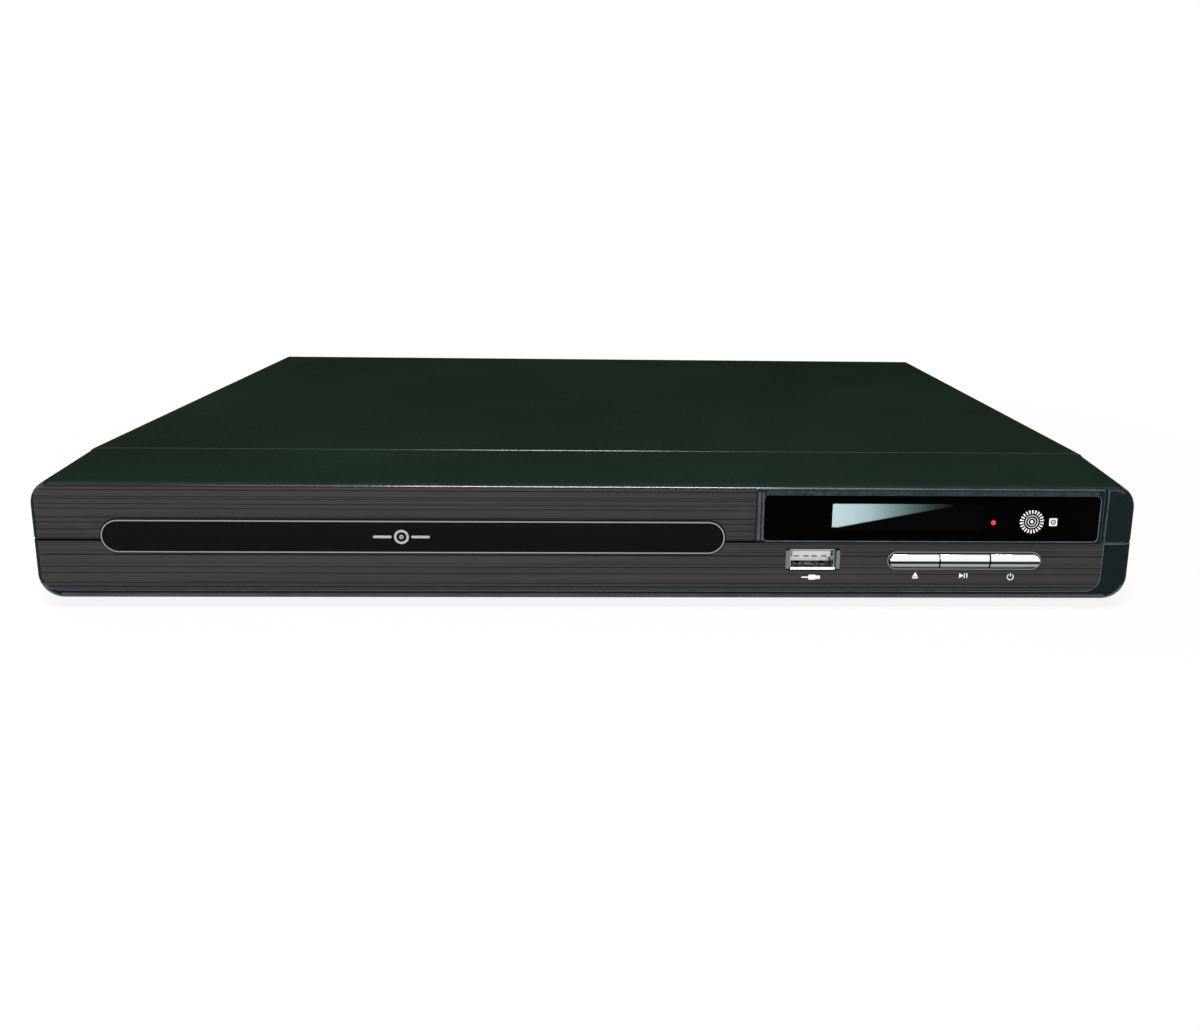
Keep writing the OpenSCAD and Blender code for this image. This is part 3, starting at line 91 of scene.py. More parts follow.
# %% Camera
FOCAL_PX, WIDTH_PX, HEIGHT_PX = 964.06, 1200, 1031
CENTRE_PX = (639.10, 391.94)
YAW, PITCH, ROLL = 0.03182, 0.1905, -0.01394
camera_place = Vector((4.568 * MM, FACE_Y - 263.115 * MM, TOP_Z + 77.474 * MM))

ahead = Vector((math.sin(YAW) * math.cos(PITCH), math.cos(YAW) * math.cos(PITCH), -math.sin(PITCH)))
level_right = Vector((math.cos(YAW), -math.sin(YAW), 0))
level_down = ahead.cross(level_right)
right = math.cos(ROLL) * level_right + math.sin(ROLL) * level_down
down = -math.sin(ROLL) * level_right + math.cos(ROLL) * level_down

lens_data = bpy.data.cameras.new("studio_camera")
lens_data.sensor_width = 36
lens_data.lens = FOCAL_PX / WIDTH_PX * lens_data.sensor_width
lens_data.shift_x = (WIDTH_PX / 2 - CENTRE_PX[0]) / WIDTH_PX
lens_data.shift_y = (CENTRE_PX[1] - HEIGHT_PX / 2) / WIDTH_PX
lens_data.clip_start = 0.01
camera = bpy.data.objects.new("studio_camera", lens_data)
bpy.context.scene.collection.objects.link(camera)
axes = Matrix((right, -down, -ahead)).transposed()
camera.matrix_world = Matrix.Translation(camera_place) @ axes.to_4x4()
bpy.context.scene.camera = camera
bpy.context.scene.view_settings.view_transform = "Standard"
print("camera lens", round(lens_data.lens, 2), "mm")

# %% [markdown]
# ## Small helpers
# Blender's mesh operators act on whatever is selected, so each step begins by clearing the
# selection. `edit` opens a piece with only the wanted vertices, edges or faces selected,
# `modify` adds a modifier and applies it at once, and `place` bakes the object's place into its
# mesh and hangs the piece on the body that carries it.

# %% Helpers for modelling
def pick(*pieces):
    """Selects only these pieces, in object mode; the first is the active one."""
    if bpy.context.mode != "OBJECT":
        bpy.ops.object.mode_set(mode="OBJECT")
    bpy.ops.object.select_all(action="DESELECT")
    for piece in pieces:
        piece.select_set(True)
    if pieces:
        bpy.context.view_layer.objects.active = pieces[0]


def edit(piece, kind, wanted):
    """Opens the piece in edit mode with the wanted vertices, edges or faces selected."""
    pick(piece)
    bpy.ops.object.mode_set(mode="EDIT")
    bpy.ops.mesh.select_mode(type=kind)
    bpy.ops.mesh.select_all(action="DESELECT")
    mesh = bmesh.from_edit_mesh(piece.data)
    parts = {"VERT": mesh.verts, "EDGE": mesh.edges, "FACE": mesh.faces}[kind]
    for part in parts:
        part.select_set(bool(wanted(part)))
    bmesh.update_edit_mesh(piece.data)


def modify(piece, kind, **settings):
    """Adds a modifier with its settings and applies it."""
    pick(piece)
    modifier = piece.modifiers.new(kind.title(), kind)
    for name, value in settings.items():
        setattr(modifier, name, value)
    bpy.ops.object.modifier_apply(modifier=modifier.name)


def place(piece, name, body, slot, *materials, smooth=35):
    """Finishes a piece: its place goes into its mesh, and it rides on a body."""
    pick(piece)
    bpy.ops.object.transform_apply(location=True, rotation=True, scale=True)
    bpy.ops.object.shade_smooth_by_angle(angle=math.radians(smooth))
    piece.name = piece.data.name = name
    if materials:
        piece.data.materials.clear()
        for material in materials:
            piece.data.materials.append(material)
    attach(piece, body)
    print(name, "has", len(piece.data.polygons), "faces")
    return piece


# %% [markdown]
# Colours are written as the hex values that a screen shows. Shaders work in linear light, so
# one function turns them. `add_node` adds any shader node, sets its settings and joins its
# sockets: a socket is given a value, or the output of an earlier node. `new_material` starts
# every finish and prints its name.

# %% Helpers for materials
def linear(hex_colour, factor=1.0):
    """An sRGB hex colour as linear RGBA, brighter or darker by a factor."""
    channels = [int(hex_colour[i : i + 2], 16) / 255 for i in (1, 3, 5)]
    light = [c / 12.92 if c <= 0.04045 else ((c + 0.055) / 1.055) ** 2.4 for c in channels]
    return (*[min(1.0, c * factor) for c in light], 1.0)


def add_node(tree, kind, sockets=None, **settings):
    """Adds a node; sockets maps an input's name or number to a value or to an output."""
    node = tree.nodes.new(kind)
    for name, value in settings.items():
        setattr(node, name, value)
    for key, value in (sockets or {}).items():
        if isinstance(value, bpy.types.NodeSocket):
            tree.links.new(value, node.inputs[key])
        else:
            node.inputs[key].default_value = value
    return node


def new_material(name, **sockets):
    """A material with one Principled shader. Returns it with its nodes' tree and its shader."""
    material = bpy.data.materials.new(name)
    material.use_nodes = True
    tree = material.node_tree
    tree.nodes.clear()
    values = {key.replace("_", " "): value for key, value in sockets.items()}
    shader = add_node(tree, "ShaderNodeBsdfPrincipled", values)
    add_node(tree, "ShaderNodeOutputMaterial", {"Surface": shader.outputs["BSDF"]})
    print("material made:", name)
    return material, tree, shader


# %% [markdown]
# Most parts are moulded, cast or coated, and their surface is one fine grain with a slight,
# broad unevenness of colour. A picture could be wrapped round each part, but noise in the
# object's own space needs no unwrapping and never shows a seam. `grained` makes such a surface
# from the real width and height of the grain in millimetres. The grain also moves the
# roughness a little, as it does on a real moulding.

# %% Helper for grained surfaces
def grained(name, colour, rough, grain, height, mottle=0.08, level=0.5, broad=35, **sockets):
    """A surface with a grain of that width and height in mm.

    mottle is the share by which its colour changes over broad mm, level its specular level.
    """
    material, tree, shader = new_material(name, **sockets)
    shader.inputs["Specular IOR Level"].default_value = level
    spot = add_node(tree, "ShaderNodeTexCoord").outputs["Object"]
    fine = add_node(tree, "ShaderNodeTexNoise", {"Vector": spot, "Scale": 1 / (grain * MM), "Detail": 3.0})
    wide = add_node(tree, "ShaderNodeTexNoise", {"Vector": spot, "Scale": 1 / (broad * MM), "Detail": 2.0})
    both = add_node(tree, "ShaderNodeMath", {0: fine.outputs["Fac"], 1: wide.outputs["Fac"]}, operation="ADD")
    share = add_node(tree, "ShaderNodeMapRange", {"Value": both.outputs[0], "From Min": 0.7, "From Max": 1.3})
    tint = add_node(tree, "ShaderNodeMix", {
        0: share.outputs[0], 6: linear(colour, 1 - mottle), 7: linear(colour, 1 + mottle),
    }, data_type="RGBA")
    gloss = add_node(tree, "ShaderNodeMapRange", {
        "Value": fine.outputs["Fac"], "From Min": 0.3, "From Max": 0.7,
        "To Min": rough - 0.05, "To Max": min(1.0, rough + 0.05),
    })
    bump = add_node(tree, "ShaderNodeBump", {"Height": fine.outputs["Fac"], "Distance": height * MM})
    tree.links.new(tint.outputs[2], shader.inputs["Base Color"])
    tree.links.new(gloss.outputs[0], shader.inputs["Roughness"])
    tree.links.new(bump.outputs[0], shader.inputs["Normal"])
    return material


# %% [markdown]
# ## Materials of the case
# The cover is steel sheet with a black-green powder coat. The powder melts into a fine, dull
# texture, about a millimetre from bump to bump, that swallows nearly every reflection, even
# seen along the surface, so its specular level is zero.

# %% Powder coat
powder_coat = grained("powder_coated_steel", "#1b261c", 0.8, 1.1, 0.03, mottle=0.22, level=0.0, broad=60)

# %% [markdown]
# The front is moulded in ABS of nearly the same shade. Its roof is etched as dull as the
# cover, and its cheeks have a finer, blue-black grain. The slanted lip above the face is
# polished in the mould, so it keeps a soft line of light. The brow behind it and the chin below
# the face are half polished, and the chin is painted lighter, as painted light from the floor.
# The bevelled edges are a little glossier and painted lighter, as painted highlights. The last
# one is the cover's own coat, melted smooth where its edge is rolled.

# %% Moulded ABS of the front
roof_abs = grained("etched_abs_roof", "#1b271f", 0.75, 0.8, 0.02, mottle=0.2, level=0.0, broad=50)
satin_abs = grained("etched_abs", "#141e20", 0.55, 0.6, 0.012, mottle=0.2, level=0.02)
polished_abs = grained("polished_abs_lip", "#121b1e", 0.15, 0.9, 0.002, mottle=0.3, level=0.4, broad=9)
brow_abs = grained("polished_abs_brow", "#1a2628", 0.35, 0.8, 0.008, mottle=0.25, level=0.04, broad=8)
# the chin is painted lighter, as painted light from the floor
chin_painted_light_abs = grained("polished_abs_chin_painted_light", "#38444a", 0.4, 0.6, 0.01, mottle=0.3, level=0.1, broad=12)
# the bevelled edges are painted lighter, as painted highlights
edge_highlight_abs = grained("painted_highlight_abs_edge", "#5a696e", 0.4, 0.5, 0.006, mottle=0.4, level=0.1, broad=4)
# the next two are painted highlights on the edges of the window frame, the first one speckled
frame_highlight_abs = grained("speckled_abs_band_highlight", "#2a353a", 0.5, 0.5, 0.012, mottle=0.55, level=0.05, broad=1.2)
margin_highlight_abs = grained("abs_margin_painted_highlight", "#444a4f", 0.5, 0.5, 0.01, mottle=0.4, level=0.05, broad=3)
edge_coat = grained("powder_coat_edge", "#1a241d", 0.2, 0.7, 0.004, mottle=0.5, level=0.5, broad=5)

# %% [markdown]
# The fascia plates carry a foil printed with dark hairlines that run level across the whole
# face. There are fine ones, half a millimetre apart, and stronger ones at uneven distances of
# one and a half to three millimetres. Two noises that change only with height give lines that
# never break. A third, stretched along the face, adds the faint streaks of brushed metal. A
# noise shows about one line over two of its cells, so the cells are half as wide as the lines
# are apart, and the strong lines come uneven because only its deepest dips are printed. The
# foil has a dull varnish, so its specular level is low.

# %% Hairline foil
STRONG_CELL, FINE_CELL, STREAK_LENGTH, STREAK_WIDTH = 0.5, 0.22, 45, 0.25

hairline_foil, tree, shader = new_material("hairline_printed_foil", Roughness=0.5)
shader.inputs["Specular IOR Level"].default_value = 0.08
spot = add_node(tree, "ShaderNodeTexCoord").outputs["Object"]
height = add_node(tree, "ShaderNodeSeparateXYZ", {0: spot}).outputs["Z"]
strong = add_node(tree, "ShaderNodeTexNoise", {
    "W": height, "Scale": 1 / (STRONG_CELL * MM), "Detail": 1.0,
}, noise_dimensions="1D")
fine = add_node(tree, "ShaderNodeTexNoise", {
    "W": height, "Scale": 1 / (FINE_CELL * MM), "Detail": 0.0,
}, noise_dimensions="1D")
strong_lines = add_node(tree, "ShaderNodeMapRange", {
    "Value": strong.outputs["Fac"], "From Min": 0.33, "From Max": 0.42,
})
fine_lines = add_node(tree, "ShaderNodeMapRange", {
    "Value": fine.outputs["Fac"], "From Min": 0.35, "From Max": 0.6, "To Min": 0.7,
})
lines = add_node(tree, "ShaderNodeMath", {
    0: strong_lines.outputs[0], 1: fine_lines.outputs[0],
}, operation="MULTIPLY")
stretch = add_node(tree, "ShaderNodeMapping", {
    "Vector": spot, "Scale": [1 / (size * MM) for size in (STREAK_LENGTH, STREAK_LENGTH, STREAK_WIDTH)],
})
streaks = add_node(tree, "ShaderNodeTexNoise", {"Vector": stretch.outputs[0], "Scale": 1.0, "Detail": 2.0})
grey = add_node(tree, "ShaderNodeMix", {
    0: streaks.outputs["Fac"], 6: linear("#343434"), 7: linear("#3d3d3d"),
}, data_type="RGBA")
printed = add_node(tree, "ShaderNodeMix", {
    0: lines.outputs[0], 6: linear("#151515"), 7: grey.outputs[2],
}, data_type="RGBA")
relief = add_node(tree, "ShaderNodeBump", {"Height": lines.outputs[0], "Distance": 0.03 * MM})
tree.links.new(printed.outputs[2], shader.inputs["Base Color"])
tree.links.new(relief.outputs[0], shader.inputs["Normal"])
print("hairline foil has", len(tree.nodes), "nodes")

# %% [markdown]
# The chassis is galvanised steel sheet. Zinc freezes in flat crystals, about 5 mm across, each
# with its own brightness: the spangle. A cell pattern gives them their shades and roughness,
# and a fine noise the marks of handling.

# %% Galvanised steel
SPANGLE, HANDLING = 5, 0.7

zinc, tree, shader = new_material("galvanised_steel", Metallic=1.0)
spot = add_node(tree, "ShaderNodeTexCoord").outputs["Object"]
cells = add_node(tree, "ShaderNodeTexVoronoi", {"Vector": spot, "Scale": 1 / (SPANGLE * MM)})
cell_value = add_node(tree, "ShaderNodeSeparateColor", {0: cells.outputs["Color"]})
scratch = add_node(tree, "ShaderNodeTexNoise", {
    "Vector": spot, "Scale": 1 / (HANDLING * MM), "Detail": 3.0,
})
zinc_tint = add_node(tree, "ShaderNodeMix", {
    0: cell_value.outputs[0], 6: linear("#8f9396"), 7: linear("#b4b8ba"),
}, data_type="RGBA")
zinc_gloss = add_node(tree, "ShaderNodeMapRange", {
    "Value": cell_value.outputs[1], "To Min": 0.32, "To Max": 0.5,
})
zinc_bump = add_node(tree, "ShaderNodeBump", {"Height": scratch.outputs["Fac"], "Distance": 0.008 * MM})
tree.links.new(zinc_tint.outputs[2], shader.inputs["Base Color"])
tree.links.new(zinc_gloss.outputs[0], shader.inputs["Roughness"])
tree.links.new(zinc_bump.outputs[0], shader.inputs["Normal"])

# %% [markdown]
# ## Metals
# Screws, rods and motor cans are steel with different finishes. A metal takes its colour from
# its reflections, so metallic is 1 and only the tint, the roughness and the grain change. Black
# oxide is partly a mineral skin, so it is less metallic and duller. Bright zinc makes screws
# pale. Nickel plating and ground rods are the sharpest mirrors, drawn cans are softer, and
# extruded aluminium is the softest. The rolled edge of the front socket is nickel rubbed almost
# white, and contacts have a flash of gold, thin and yellow.

# %% Metals
black_oxide = grained("black_oxide_steel", "#232426", 0.42, 0.3, 0.004, mottle=0.2, Metallic=0.6, level=0.3)
bright_zinc = grained("bright_zinc_steel", "#b9bcbe", 0.3, 0.4, 0.004, Metallic=1.0)
ground_steel = grained("ground_steel", "#c2c4c6", 0.18, 0.15, 0.001, Metallic=1.0)
drawn_steel = grained("drawn_steel_can", "#a3a5a8", 0.34, 0.5, 0.003, Metallic=1.0)
nickel = grained("nickel_plated_steel", "#a9abac", 0.16, 0.6, 0.002, Metallic=1.0)
rolled_nickel = grained("rolled_nickel_edge", "#f1f2f2", 0.2, 0.4, 0.002, Metallic=1.0)
gold_flash = grained("gold_flashed_contact", "#c9a455", 0.3, 0.3, 0.002, Metallic=1.0)
aluminium = grained("extruded_aluminium", "#aeb1b3", 0.38, 0.35, 0.006, Metallic=1.0)

# %% [markdown]
# The thin line round the door and the ring round the buttons are ABS with a satin
# vacuum-plated film. The film is a metal too, but softer in its reflections than real chrome,
# and its bevelled edges are painted dark, as painted shade.

# %% Plated plastics
satin_plate = grained("satin_vacuum_plating", "#9b9d9f", 0.38, 0.3, 0.003, mottle=0.06, Metallic=1.0)
ring_plate = grained("smoked_vacuum_plating", "#77797b", 0.42, 0.3, 0.003, mottle=0.06, Metallic=1.0)
# dark bevels of the plated rings: painted shade
plate_edge_shade = grained("plating_edge_painted_shade", "#2e3031", 0.5, 0.3, 0.003, mottle=0.1, level=0.1)

# %% [markdown]
# The three bars of the button row are chrome, with a painted reflection in their colour: bright
# above, darkest just under the middle of the crown, lighter below it and painted dark again at the
# rims as painted shade. The tint follows the height on the bar, in a ramp set by the bars' middle
# and half height. A very shallow ripple, as moulded plastic has under its plating, keeps the mirror
# a little uneven.

# %% Chrome of the buttons, with a painted reflection
RIPPLE = 4
bar_low, bar_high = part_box("play_button")
bar_middle, bar_half = (bar_low.z + bar_high.z) / 2, (bar_high.z - bar_low.z) / 2
print("bars of", round(2 * bar_half / MM, 2), "mm, their middle", round(bar_middle / MM, 2), "mm up")
painted_reflection_chrome, tree, shader = new_material("plating_with_painted_reflection", Metallic=1.0, Roughness=0.1)
spot = add_node(tree, "ShaderNodeTexCoord").outputs["Object"]
height = add_node(tree, "ShaderNodeSeparateXYZ", {0: spot}).outputs["Z"]
share = add_node(tree, "ShaderNodeMapRange", {
    "Value": height, "From Min": bar_middle - bar_half, "From Max": bar_middle + bar_half,
})
reflection_tones = add_node(tree, "ShaderNodeValToRGB", {0: share.outputs[0]})
ramp = reflection_tones.color_ramp
# the stops paint the reflection: grey towards the foot, darkest just under the middle, bright above it, and
# painted shade at both rims
for stop, hex_colour in (
    (0.07, "#596061"), (0.16, "#8f9697"), (0.27, "#b4babb"), (0.36, "#4a5153"), (0.41, "#0b0f11"),
    (0.46, "#020304"), (0.5, "#0e1315"), (0.57, "#f4f6f6"), (0.9, "#fbfcfc"), (0.955, "#e4e6e6"),
):
    ramp.elements.new(stop).color = linear(hex_colour)
ramp.elements[0].color = linear("#3a3f40")
ramp.elements[-1].color = linear("#2c2f30")
ripple = add_node(tree, "ShaderNodeTexNoise", {"Vector": spot, "Scale": 1 / (RIPPLE * MM)})
ripple_bump = add_node(tree, "ShaderNodeBump", {"Height": ripple.outputs["Fac"], "Distance": 0.003 * MM})
tree.links.new(reflection_tones.outputs[0], shader.inputs["Base Color"])
tree.links.new(ripple_bump.outputs[0], shader.inputs["Normal"])

# %% [markdown]
# ## Clear and glossy plastics
# The door panel is black acrylic, polished. The display window is smoked acrylic, so dark that
# it reads as black, so it is made opaque, and the face of the display is a piece of its own on
# it. The lamp is red epoxy that glows faintly, and the pickup's lens has a bluish coating.

# %% Acrylics
gloss_black = grained("polished_black_acrylic", "#0f0f0f", 0.07, 3.0, 0.002, mottle=0.03, level=0.02)
smoked = grained("smoked_acrylic", "#010102", 0.06, 3.0, 0.002, mottle=0.05, level=0.01)
red_epoxy = grained("red_epoxy_lamp", "#e01a34", 0.2, 0.5, 0.002, level=0.5, Emission_Strength=0.35)
red_epoxy.node_tree.nodes["Principled BSDF"].inputs["Emission Color"].default_value = linear("#ff2038")
lens_glass = grained("coated_lens_glass", "#5f7f9c", 0.05, 1.0, 0.001, level=0.9)

# %% [markdown]
# ## Moulded plastics and rubber
# Inside, the loader is dark grey ABS, the tray satin black ABS, the gears natural acetal with
# its milky, slightly waxy look, and the pads, dampers and belt are rubber, the dullest of all.
# Sockets and chips are PBT, which moulds crisp and half dull, and the pickup's carriage is cast
# and dark. The film of the flat cable, the tape on the transformer and the sleeves of the
# capacitors are smooth, with soft highlights. The joint of the front is filled with a black
# strip of painted shade, which gives back no light at all.

# %% Plastics and rubber
moulded_black = grained("moulded_black_abs", "#161617", 0.55, 0.5, 0.01, level=0.3)
tray_black = grained("satin_tray_abs", "#1d1e20", 0.42, 0.45, 0.008, level=0.35)
loader_grey = grained("moulded_grey_abs", "#37383b", 0.5, 0.6, 0.01, level=0.35)
acetal = grained("natural_acetal", "#dcd8cc", 0.38, 0.8, 0.004, mottle=0.04, Subsurface_Weight=0.05)
dark_acetal = grained("black_acetal", "#202022", 0.35, 0.6, 0.004, level=0.4)
carriage = grained("cast_carriage", "#26272a", 0.45, 0.5, 0.01, level=0.4)
rubber = grained("matt_rubber", "#151515", 0.8, 0.4, 0.015, level=0.2)
white_pbt = grained("white_pbt", "#e3e4e4", 0.42, 0.5, 0.004, mottle=0.03, level=0.2)
black_pbt = grained("black_pbt", "#141415", 0.48, 0.4, 0.006, level=0.35)
flat_cable = grained("flat_cable_film", "#d9dbdd", 0.4, 1.0, 0.01, mottle=0.05)
# a black strip of painted shade for the joint of the front
joint_shade_black = grained("black_painted_joint_shade", "#040404", 0.95, 0.3, 0.02, level=0.0)
grey_lead = grained("grey_ribbon_lead", "#85868a", 0.5, 0.8, 0.01)
winding_tape = grained("polyester_winding_tape", "#d8b02a", 0.3, 2.0, 0.03, mottle=0.12)
can_sleeve = grained("shrunk_can_sleeve", "#1a2440", 0.3, 1.2, 0.01, mottle=0.1)

# %% [markdown]
# The boards are glass-fibre laminate under green solder resist, and brown phenolic paper for
# the power board. Copper shows through the resist as slightly lighter fields with dark gaps
# between them, so square cells in two tints, raised by the copper's thickness, stand for it.

# %% Circuit boards
def board_material(name, base, track, pitch):
    """Solder resist over copper; pitch is the width of one copper field in mm."""
    material, tree, shader = new_material(name, Roughness=0.35)
    spot = add_node(tree, "ShaderNodeTexCoord").outputs["Object"]
    blocks = add_node(tree, "ShaderNodeTexVoronoi", {
        "Vector": spot, "Scale": 1 / (pitch * 5 * MM),
    }, distance="CHEBYCHEV")
    tracks = add_node(tree, "ShaderNodeTexVoronoi", {
        "Vector": spot, "Scale": 1 / (pitch * MM),
    }, distance="CHEBYCHEV", feature="DISTANCE_TO_EDGE")
    edge = add_node(tree, "ShaderNodeMapRange", {
        "Value": tracks.outputs["Distance"], "From Min": 0.05, "From Max": 0.15,
    })
    masked = add_node(tree, "ShaderNodeMath", {
        0: edge.outputs[0], 1: blocks.outputs["Distance"],
    }, operation="MULTIPLY")
    tint = add_node(tree, "ShaderNodeMix", {
        0: masked.outputs[0], 6: linear(base), 7: linear(track),
    }, data_type="RGBA")
    bump = add_node(tree, "ShaderNodeBump", {"Height": edge.outputs[0], "Distance": 0.03 * MM})
    tree.links.new(tint.outputs[2], shader.inputs["Base Color"])
    tree.links.new(bump.outputs[0], shader.inputs["Normal"])
    return material


green_board = board_material("green_solder_resist", "#0f4a2a", "#1f6b40", 1.6)
brown_board = board_material("phenolic_paper_board", "#8a5a2c", "#a87845", 3.2)

# %% [markdown]
# Each socket insert has its own colour: yellow for the picture, white and red for the sound,
# and orange for the digital sound. They are one node, so the colour changes in steps with the
# place along the row.

# %% Coloured socket inserts
insert_low, insert_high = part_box("jack_inserts")
insert_resin, tree, shader = new_material("coloured_socket_resin", Roughness=0.3)
spot = add_node(tree, "ShaderNodeTexCoord").outputs["Object"]
across = add_node(tree, "ShaderNodeSeparateXYZ", {0: spot}).outputs["X"]
share = add_node(tree, "ShaderNodeMapRange", {
    "Value": across, "From Min": insert_low.x, "From Max": insert_high.x,
})
colours = add_node(tree, "ShaderNodeValToRGB", {0: share.outputs[0]})
colours.color_ramp.interpolation = "CONSTANT"
colours.color_ramp.elements[0].color = linear("#d8b21a")
colours.color_ramp.elements[-1].color = linear("#d8621a")
colours.color_ramp.elements[-1].position = 0.75
for stop, hex_colour in ((0.25, "#dedcd6"), (0.5, "#b3201f")):
    colours.color_ramp.elements.new(stop).color = linear(hex_colour)
fleck = add_node(tree, "ShaderNodeTexNoise", {"Vector": spot, "Scale": 1 / (0.5 * MM)})
fleck_bump = add_node(tree, "ShaderNodeBump", {"Height": fleck.outputs["Fac"], "Distance": 0.004 * MM})
tree.links.new(colours.outputs[0], shader.inputs["Base Color"])
tree.links.new(fleck_bump.outputs[0], shader.inputs["Normal"])

# %% [markdown]
# Signs are screen printed. The ink lies a few hundredths of a millimetre thick and is dull,
# with a grain from the mesh of the screen.

# %% Inks
white_ink = grained("white_screen_ink", "#f4f5f5", 0.6, 0.15, 0.004, mottle=0.02, level=0.2)
silver_ink = grained("silver_screen_ink", "#a8aaab", 0.5, 0.2, 0.004, mottle=0.05, level=0.3)
# the dark ink prints the receiver's sign and is also painted shade in the socket's recesses and cuts
dark_ink_and_shade = grained("dark_screen_ink_and_painted_shade", "#26292b", 0.6, 0.15, 0.004, level=0.2)

# %% [markdown]
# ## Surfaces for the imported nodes
# A node whose shape is right keeps its mesh and gets its material in its slots. The list pairs
# each material with the nodes that are made of it.

# %% Assign the materials
node_materials = [
    (zinc, "chassis_base traverse_plate"),
    (black_oxide, "cover_screws"),
    (bright_zinc, "loader_screws board_screws"),
    (ground_steel, "guide_rods lead_screw"),
    (drawn_steel, "loading_motor spindle_motor sled_motor"),
    (nickel, "usb_shell jack_sleeves"),
    (gold_flash, "usb_contacts inlet_pins"),
    (aluminium, "heat_sink"),
    (powder_coat, "top_cover"),
    (satin_abs, "front_bezel_upper front_bezel_lower"),
    (hairline_foil, "fascia_upper fascia_lower"),
    (satin_plate, "door_trim"),
    (ring_plate, "button_surround"),
    (painted_reflection_chrome, "eject_button play_button power_button"),
    (gloss_black, "door_panel tray_door"),
    (smoked, "display_lens"),
    (red_epoxy, "standby_led"),
    (lens_glass, "pickup_lens"),
    (moulded_black, "feet"),
    (tray_black, "tray"),
    (loader_grey, "loader_frame clamp_bridge lift_frame"),
    (acetal, "motor_pulley pulley_gear drive_gear cam_slider clamper"),
    (dark_acetal, "turntable"),
    (carriage, "pickup_sled"),
    (rubber, "foot_pads drive_belt dampers"),
    (white_pbt, "usb_insulator display_module"),
    (black_pbt, "ir_receiver tact_switches main_chips mains_inlet jack_block"),
    (flat_cable, "ribbon_cable"),
    (grey_lead, "wiring"),
    (winding_tape, "transformer"),
    (can_sleeve, "capacitors"),
    (green_board, "front_board main_board"),
    (brown_board, "power_board"),
    (insert_resin, "jack_inserts"),
]
material_of = {name: material for material, names in node_materials for name in names.split()}
for name, node in nodes.items():
    node.data.materials.clear()
    node.data.materials.append(material_of[name])
print("nodes with a material:", len(material_of), "of", len(nodes))

# %% [markdown]
# ## Dressed copies
# The mesh of a node is loose triangles, so nothing can be rounded on it. A copy is welded, its
# flat triangles are joined into whole faces, its sharp edges get a small bevel that catches
# the light, and its curved walls are smoothed. The copy then stands for the node. Points closer
# than 0.002 mm are one point, and faces that differ by less than 0.6 degrees are one face.

# %% Helper that dresses a node
WELD, FLAT = 0.002, 0.6
slot_of = {part["node"]: part["material_slot"] for part in frame["record"]["subparts"]}


def dress(name, bevel=0.0, sharp=40, segments=2, smooth=35, edges=None, clamp=True):
    """A welded copy of a node, bevelled by so many mm where its edges are sharp.

    edges is a material for the bevels. With clamp off, a short edge near a bevel doesn't make
    all the bevels narrower.
    """
    source = nodes[name]
    piece = bpy.data.objects.new(name + "_dressed", source.data.copy())
    bpy.context.scene.collection.objects.link(piece)
    edit(piece, "FACE", lambda face: True)
    bpy.ops.mesh.remove_doubles(threshold=WELD * MM)
    bpy.ops.mesh.dissolve_limited(angle_limit=math.radians(FLAT))
    pick(piece)
    if piece.data.has_custom_normals:
        bpy.ops.mesh.customdata_custom_splitnormals_clear()
    if edges:
        piece.data.materials.append(edges)
    if bevel:
        modify(piece, "BEVEL", width=bevel * MM, segments=segments, limit_method="ANGLE",
            angle_limit=math.radians(sharp), use_clamp_overlap=clamp,
            miter_outer="MITER_ARC" if clamp else "MITER_SHARP", material=1 if edges else -1)
    body = source["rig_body"]
    place(piece, name + "_dressed", body, slot_of[name], smooth=smooth)
    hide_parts(name)
    return piece


# %% [markdown]
# The two halves of the front get more materials: painted highlights on the bevels, the polished
# lip above the face and the chin below it, both found by their place and their slanted normals,
# the brow, which is the gentle slope behind the lip, and the dull roof behind it. The chin is
# painted lighter, as painted light from the floor. The lip is a narrow flat, so it is left
# unsmoothed and takes its line of light over its whole height. Faces under 0.05 square
# millimetres are slivers of a bevel and aren't taken for lip or chin. The edges of the left cheek
# lie in shade, so they get no painted highlight and keep the plain grain.

